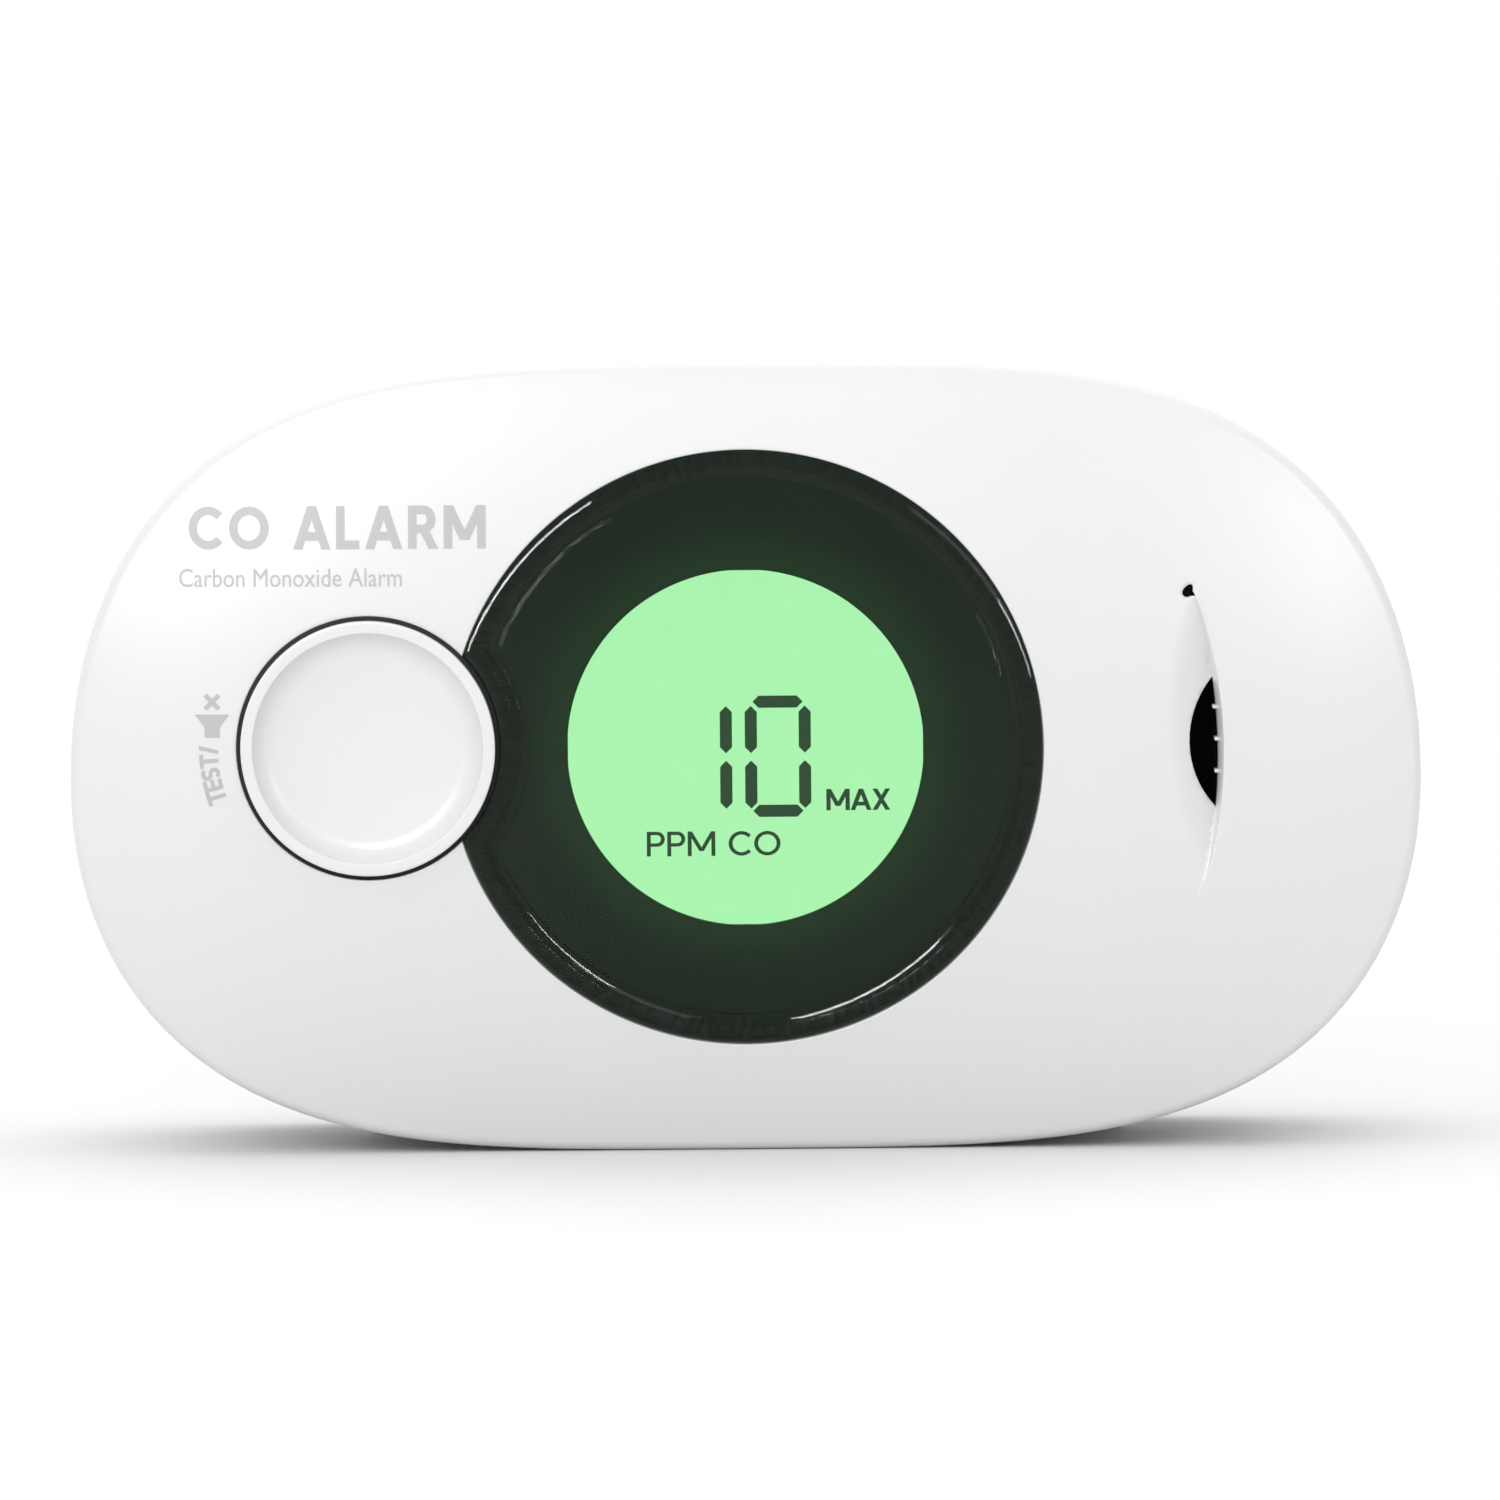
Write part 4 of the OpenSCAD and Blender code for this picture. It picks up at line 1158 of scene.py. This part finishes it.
for name, pieces, place in (
        ("display_units", capitals("PPM CO", 2.2, 11.9, 0.14, 1.14), at(-8.85, AXIS_Z - 9.89)),
        ("display_peak", capitals("MAX", 1.9, 5.7, 0.18, 1.12), at(7.15, AXIS_Z - 5.91))):
    printed(name, pieces, place, LCD_Y, SEGMENT)
printed("print_title", capitals("CO ALARM", 3.8, 26.4, 0.2), at(-49.2, 53.9), face, INK)
printed("print_subtitle", small_print("Carbon Monoxide Alarm", 1.62, 19.8), at(-50.05, 50.6), face, INK)


def round_button(u, v):
    """Places the word that runs up beside the button, bent round it."""
    turn, r = math.radians(-20.0) + u / 13.9, 13.3 + v
    return BUTTON_X - r * math.cos(turn), BUTTON_Z + r * math.sin(turn)


printed("print_test", capitals("TEST/", 1.7, 5.1, 0.2), round_button, face, INK)

HORN = [[(-0.67, 0), (0.67, 0), (0.67, 0.88), (-0.67, 0.88)],
        [(-0.67, 0.88), (0.67, 0.88), (1.54, 2.05), (-1.54, 2.05)]]
CROSS = ribbon([(-0.62, 2.53), (0.62, 3.77)], 0.4) + ribbon([(-0.62, 3.77), (0.62, 2.53)], 0.4)
printed("print_silence", HORN + CROSS, at(-47.2, 37.3), face, INK)


def label_print():
    """Generic print on the label, and the word beside the slider, read from behind."""
    def behind(x, z):
        return lambda u, v: (x - u, z + v)

    def block(x0, z0, x1, z1):
        return [(x0, z0), (x1, z0), (x1, z1), (x0, z1)]

    film = mm_box("rating_label")[1][1]
    printed("label_title", small_print("Carbon Monoxide Alarm", 2.6, 30), behind(19.5, 38.2), film, LABEL_INK)
    # bars in place of the words of the small print
    rows = []
    for k, words in enumerate(("53746", "46283", "7355", "38425", "6537", "846")):
        x = 0.0
        for w in map(int, words):
            rows.append(block(x, -2.3 * k, x + w, -2.3 * k + 0.8))
            x += w + 1
    printed("label_lines", rows, behind(19.5, 34.0), film, LABEL_INK)
    wide, high, line = 39, 4.5, 0.3
    boxes = [block(0, 0, wide, line), block(0, 0, line, high), block(wide - line, 0, wide, high),
             block(0, high - line, wide, high), block(19.3, 0, 19.3 + line, high)]
    printed("label_boxes", boxes, behind(19.5, 15.0), film, LABEL_INK)
    printed("slider_word", small_print("ACTIVATE", 1.7, 10.5), behind(5.2, 59.0), BACK, INK)
    arrow = [block(0, 0.35, 2.6, 0.75), [(2.6, -0.15), (4, 0.55), (2.6, 1.25)]]
    printed("slider_arrow", arrow, behind(2.0, 61.6), BACK, INK)


label_print()


# ---- Button ----

TILT = math.tan(math.radians(4.3))       # the button's face leans to follow the dome
CAP_END = -12.5                          # end of the cap's skirt
SKIRT, STEM_R, SNAP_R, SNAP = 1.5, 2.5, 3.3, 0.5   # skirt's thickness, stem's radius, and its collar
CAP_ROUND = 0.16


def test_button():
    b = Build()
    centre, steps = (BUTTON_X, BUTTON_Z), 200
    top = BUTTON_FRONT + BUTTON_R * TILT
    dish_r, bowl, fillet, steep = 10.25, 0.35, 2.1, math.radians(76)
    foot_r = dish_r - fillet * math.sin(steep)
    bottom = top + bowl + fillet * (1 - math.cos(steep))
    profile = [(0, bottom)]
    for k in range(1, 41):
        r = foot_r * math.sin(math.pi / 2 * k / 40)
        profile.append((r, bottom - bowl * (r / dish_r) ** 3))
    for k in range(1, 31):
        t = steep * k / 30
        r = foot_r + fillet * math.sin(t)
        profile.append((r, bottom - bowl * (r / dish_r) ** 3 - fillet * (1 - math.cos(t))))
    profile += [(dish_r + 0.03, top - 0.01), (dish_r + 0.1, top - 0.015), (CAP_R - 0.25, top)]
    for a in (15, 35, 55, 75, 90):
        t = math.radians(a)
        profile.append((CAP_R - CAP_ROUND + CAP_ROUND * math.sin(t), top + CAP_ROUND * (1 - math.cos(t))))
    face_rings = b.lathe(profile, centre, steps, TILT)
    inner_r, under, end = BUTTON_R - SKIRT, CAP_END - SKIRT, button_hi[1]
    skirt = [(CAP_R, CAP_END), (inner_r, CAP_END), (inner_r, under)]
    stem = [(STEM_R, under), (STEM_R, end - SNAP), (SNAP_R, end - SNAP), (SNAP_R, end), (0, end)]
    b.strip(face_rings[-1], b.lathe(skirt + stem, centre, steps)[0])
    b.make("button_cap", 40, body="button", stands_for=["test_button"],
           material=BUTTON_WHITE)


test_button()


def button_ring():
    # A black ring that fills the narrow gap round the cap.
    b = Build()
    inner, outer, top = CAP_R + 0.05, WELL_R - 0.03, below(0.15)
    section = (inner, SEAT), (inner, top), (outer, top), (outer, SEAT)
    rings = [b.loop(at_depth(circle(BUTTON_X, BUTTON_Z, r, 200), y)) for r, y in section]
    b.chain([*rings, rings[0]])
    b.make("button_gap_ring", 35, stands_for=["button_ring"], material=BLACK)


button_ring()


def coil_spring():
    """Spring between the cap and the floor of its well."""
    b = Build()
    low, high = mm_box("button_spring")
    wire, turns, steps, sides = 0.22, 2.5, 32, 12
    radius = (high[0] - low[0]) / 2 - wire
    count = round(turns * steps)
    rings = []
    for k in range(count + 1):
        turn = 2 * math.pi * k / steps
        y = low[1] + wire + (high[1] - low[1] - 2 * wire) * k / count
        rings.append(b.loop([(BUTTON_X + r * math.cos(turn), y + dy, BUTTON_Z + r * math.sin(turn))
                             for r, dy in circle(radius, 0, wire, sides)]))
    b.chain(rings)
    b.f += [rings[0], rings[-1]]
    spring = b.make("coil_spring", 50, body=None, stands_for=["button_spring"],
                    material=brushed("spring_steel", (0.6, 0.6, 0.6), 0.25))
    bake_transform(spring)


coil_spring()

# ---- Other CAD pieces keep their shapes and get real materials ----

SLOTS = {s["node"]: s["material_slot"] for s in frame["record"]["subparts"]}
FINISHES = {
    "case_white": REAR_WHITE,
    "gasket_rubber": moulded("gasket_rubber", (0.02, 0.02, 0.02), 0.7, grain=0.5, vary=0.2),
    "lit_display": LCD,
    "diffuser_white": glowing("diffuser", (0.7, 0.95, 0.72), 0.6),
    "frame_white": moulded("frame_abs", (0.72, 0.72, 0.7), 0.5, vary=0.04),
    "connector_rubber": moulded("zebra_rubber", (0.6, 0.3, 0.3), 0.6, vary=0.3, scale=1200),
    "ring_black": BLACK,
    "board_green": moulded("solder_mask", (0.02, 0.11, 0.035), 0.3, vary=0.45, coat=0.4),
    "switch_black": moulded("switch_nylon", (0.03, 0.03, 0.032), 0.5, vary=0.15),
    "plated_steel": brushed("nickel_plate", (0.62, 0.61, 0.58), 0.28),
    "slider_grey": moulded("slider_acetal", (0.09, 0.09, 0.095), 0.5, grain=0.3, vary=0.1),
    "gold_pin": brushed("gold_plate", (0.8, 0.55, 0.2), 0.25),
    "brass_disc": brushed("rolled_brass", (0.72, 0.5, 0.2), 0.3, (30, 1, 1)),
    "cell_sleeve": moulded("shrink_sleeve", (0.03, 0.11, 0.3), 0.25, coat=0.5, vary=0.1),
    "aluminium_can": brushed("drawn_aluminium", (0.75, 0.75, 0.76), 0.3),
    "led_green": moulded("led_green", (0.12, 0.5, 0.15), 0.2, vary=0.05),
    "led_red": moulded("led_red", (0.5, 0.02, 0.015), 0.2, vary=0.05),
    "led_yellow": moulded("led_yellow", (0.65, 0.36, 0.02), 0.2, vary=0.05),
    "clear_plastic": moulded("clear_acrylic", (0.85, 0.87, 0.87), 0.1, vary=0.02, alpha=0.35),
    "screw_steel": brushed("zinc_plate", (0.55, 0.56, 0.58), 0.32, (20, 1, 1)),
    "label_film": moulded("label_film", (0.62, 0.63, 0.64), 0.42, vary=0.03, scale=4000),
}
for node, obj in frame["nodes"].items():
    if not obj.hide_render:
        obj.data.materials.clear()
        obj.data.materials.append(FINISHES[SLOTS[node]])

# ---- Floor, light and camera ----


def floor():
    mesh = bpy.data.meshes.new("floor")
    ring = [(x, y, -0.00002) for x, y in circle(0, 0, 8)]
    mesh.from_pydata(ring, [], [list(range(len(ring)))])
    m, nt, b = new_material("studio_floor")
    tex = texture(nt, "ShaderNodeTexNoise", 2.0)
    greys = (0.3, (0.675, 0.675, 0.675)), (0.7, (0.685, 0.685, 0.685))
    nt.links.new(ramp(nt, tex.outputs["Fac"], greys), b.inputs["Base Color"])
    b.inputs["Roughness"].default_value = 0.6
    b.inputs["Specular IOR Level"].default_value = 0.15
    mesh.materials.append(m)
    placed("floor", mesh)


floor()
CENTRE = Vector((0, -0.012, 0.035))      # what the softboxes point at


def sun(name, azimuth, elevation, strength, softness):
    """A broad light with no highlight. azimuth is where it stands: 0 in front, positive to the right."""
    light = bpy.data.lights.new(name, "SUN")
    light.energy = strength
    light.angle = math.radians(softness)
    obj = placed(name, light)
    a, e = math.radians(azimuth), math.radians(elevation)
    back = Vector((math.sin(a) * math.cos(e), -math.cos(a) * math.cos(e), math.sin(e)))
    obj.rotation_euler = (-back).to_track_quat("-Z", "Y").to_euler()
    obj.visible_glossy = False


sun("overhead", 180, 76, 1.9, 70)
sun("front", -15, 20, 0.55, 50)
sun("left", -65, 30, 0.26, 50)


def box_light(name, around, radiance, length, height):
    """A softbox in front of the case, 36 degrees off the view and 1 m away. around is its place on the clock
    face, as an angle from the right, and its length lies along that circle."""
    away, a = math.radians(36), math.radians(around)
    place = CENTRE + Vector((math.sin(away) * math.cos(a), -math.cos(away), math.sin(away) * math.sin(a)))
    light = bpy.data.lights.new(name, "AREA")
    light.energy = radiance * math.pi * length * height
    light.shape = "RECTANGLE"
    light.size = length
    light.size_y = height
    obj = placed(name, light)
    obj.location = place
    obj.rotation_mode = "QUATERNION"
    look = (CENTRE - place).to_track_quat("-Z", "Y")
    obj.rotation_quaternion = look @ Quaternion((0, 0, 1), a - math.pi / 2)
    return obj


box_light("left_box", 138, 2.3, 0.42, 0.2)
box_light("right_box", 50, 2.4, 0.42, 0.2)
# strips that only show as highlights on glossy faces
for strip in (("top_strip", 131, 46.0, 0.5, 0.12), ("side_strip", 30, 28.0, 0.24, 0.1)):
    box_light(*strip).visible_diffuse = False


def studio_world():
    """White round the horizon and greyer overhead."""
    world = bpy.data.worlds.new("studio")
    bpy.context.scene.world = world
    world.use_nodes = True
    nt = world.node_tree
    coord = nt.nodes.new("ShaderNodeTexCoord")
    split = nt.nodes.new("ShaderNodeSeparateXYZ")
    nt.links.new(coord.outputs["Generated"], split.inputs["Vector"])
    grey = ramp(nt, split.outputs["Z"], ((0.05, (1.03, 1.03, 1.03)), (0.3, (0.8, 0.8, 0.8))))
    nt.links.new(grey, nt.nodes["Background"].inputs["Color"])
    nt.nodes["Background"].inputs["Strength"].default_value = 1.0


studio_world()
bpy.context.scene.view_settings.view_transform = "Standard"


def camera():
    """Looks at the front from a little above, and takes in a width of view at the rim."""
    distance, view_w, up = 1.1, 0.1332, math.radians(3.5)
    aim = Vector((0.0004, RIM / 1000, 0.0356))
    data = bpy.data.cameras.new("camera")
    data.sensor_width = 36
    data.lens = data.sensor_width * distance / view_w
    obj = placed("camera", data)
    back = Vector((0, -math.cos(up), math.sin(up)))
    obj.location = aim + back * distance
    obj.rotation_mode = "QUATERNION"
    look = (-back).to_track_quat("-Z", "Y")
    obj.rotation_quaternion = look @ Quaternion((0, 0, 1), math.radians(-0.5))
    bpy.context.scene.camera = obj


camera()
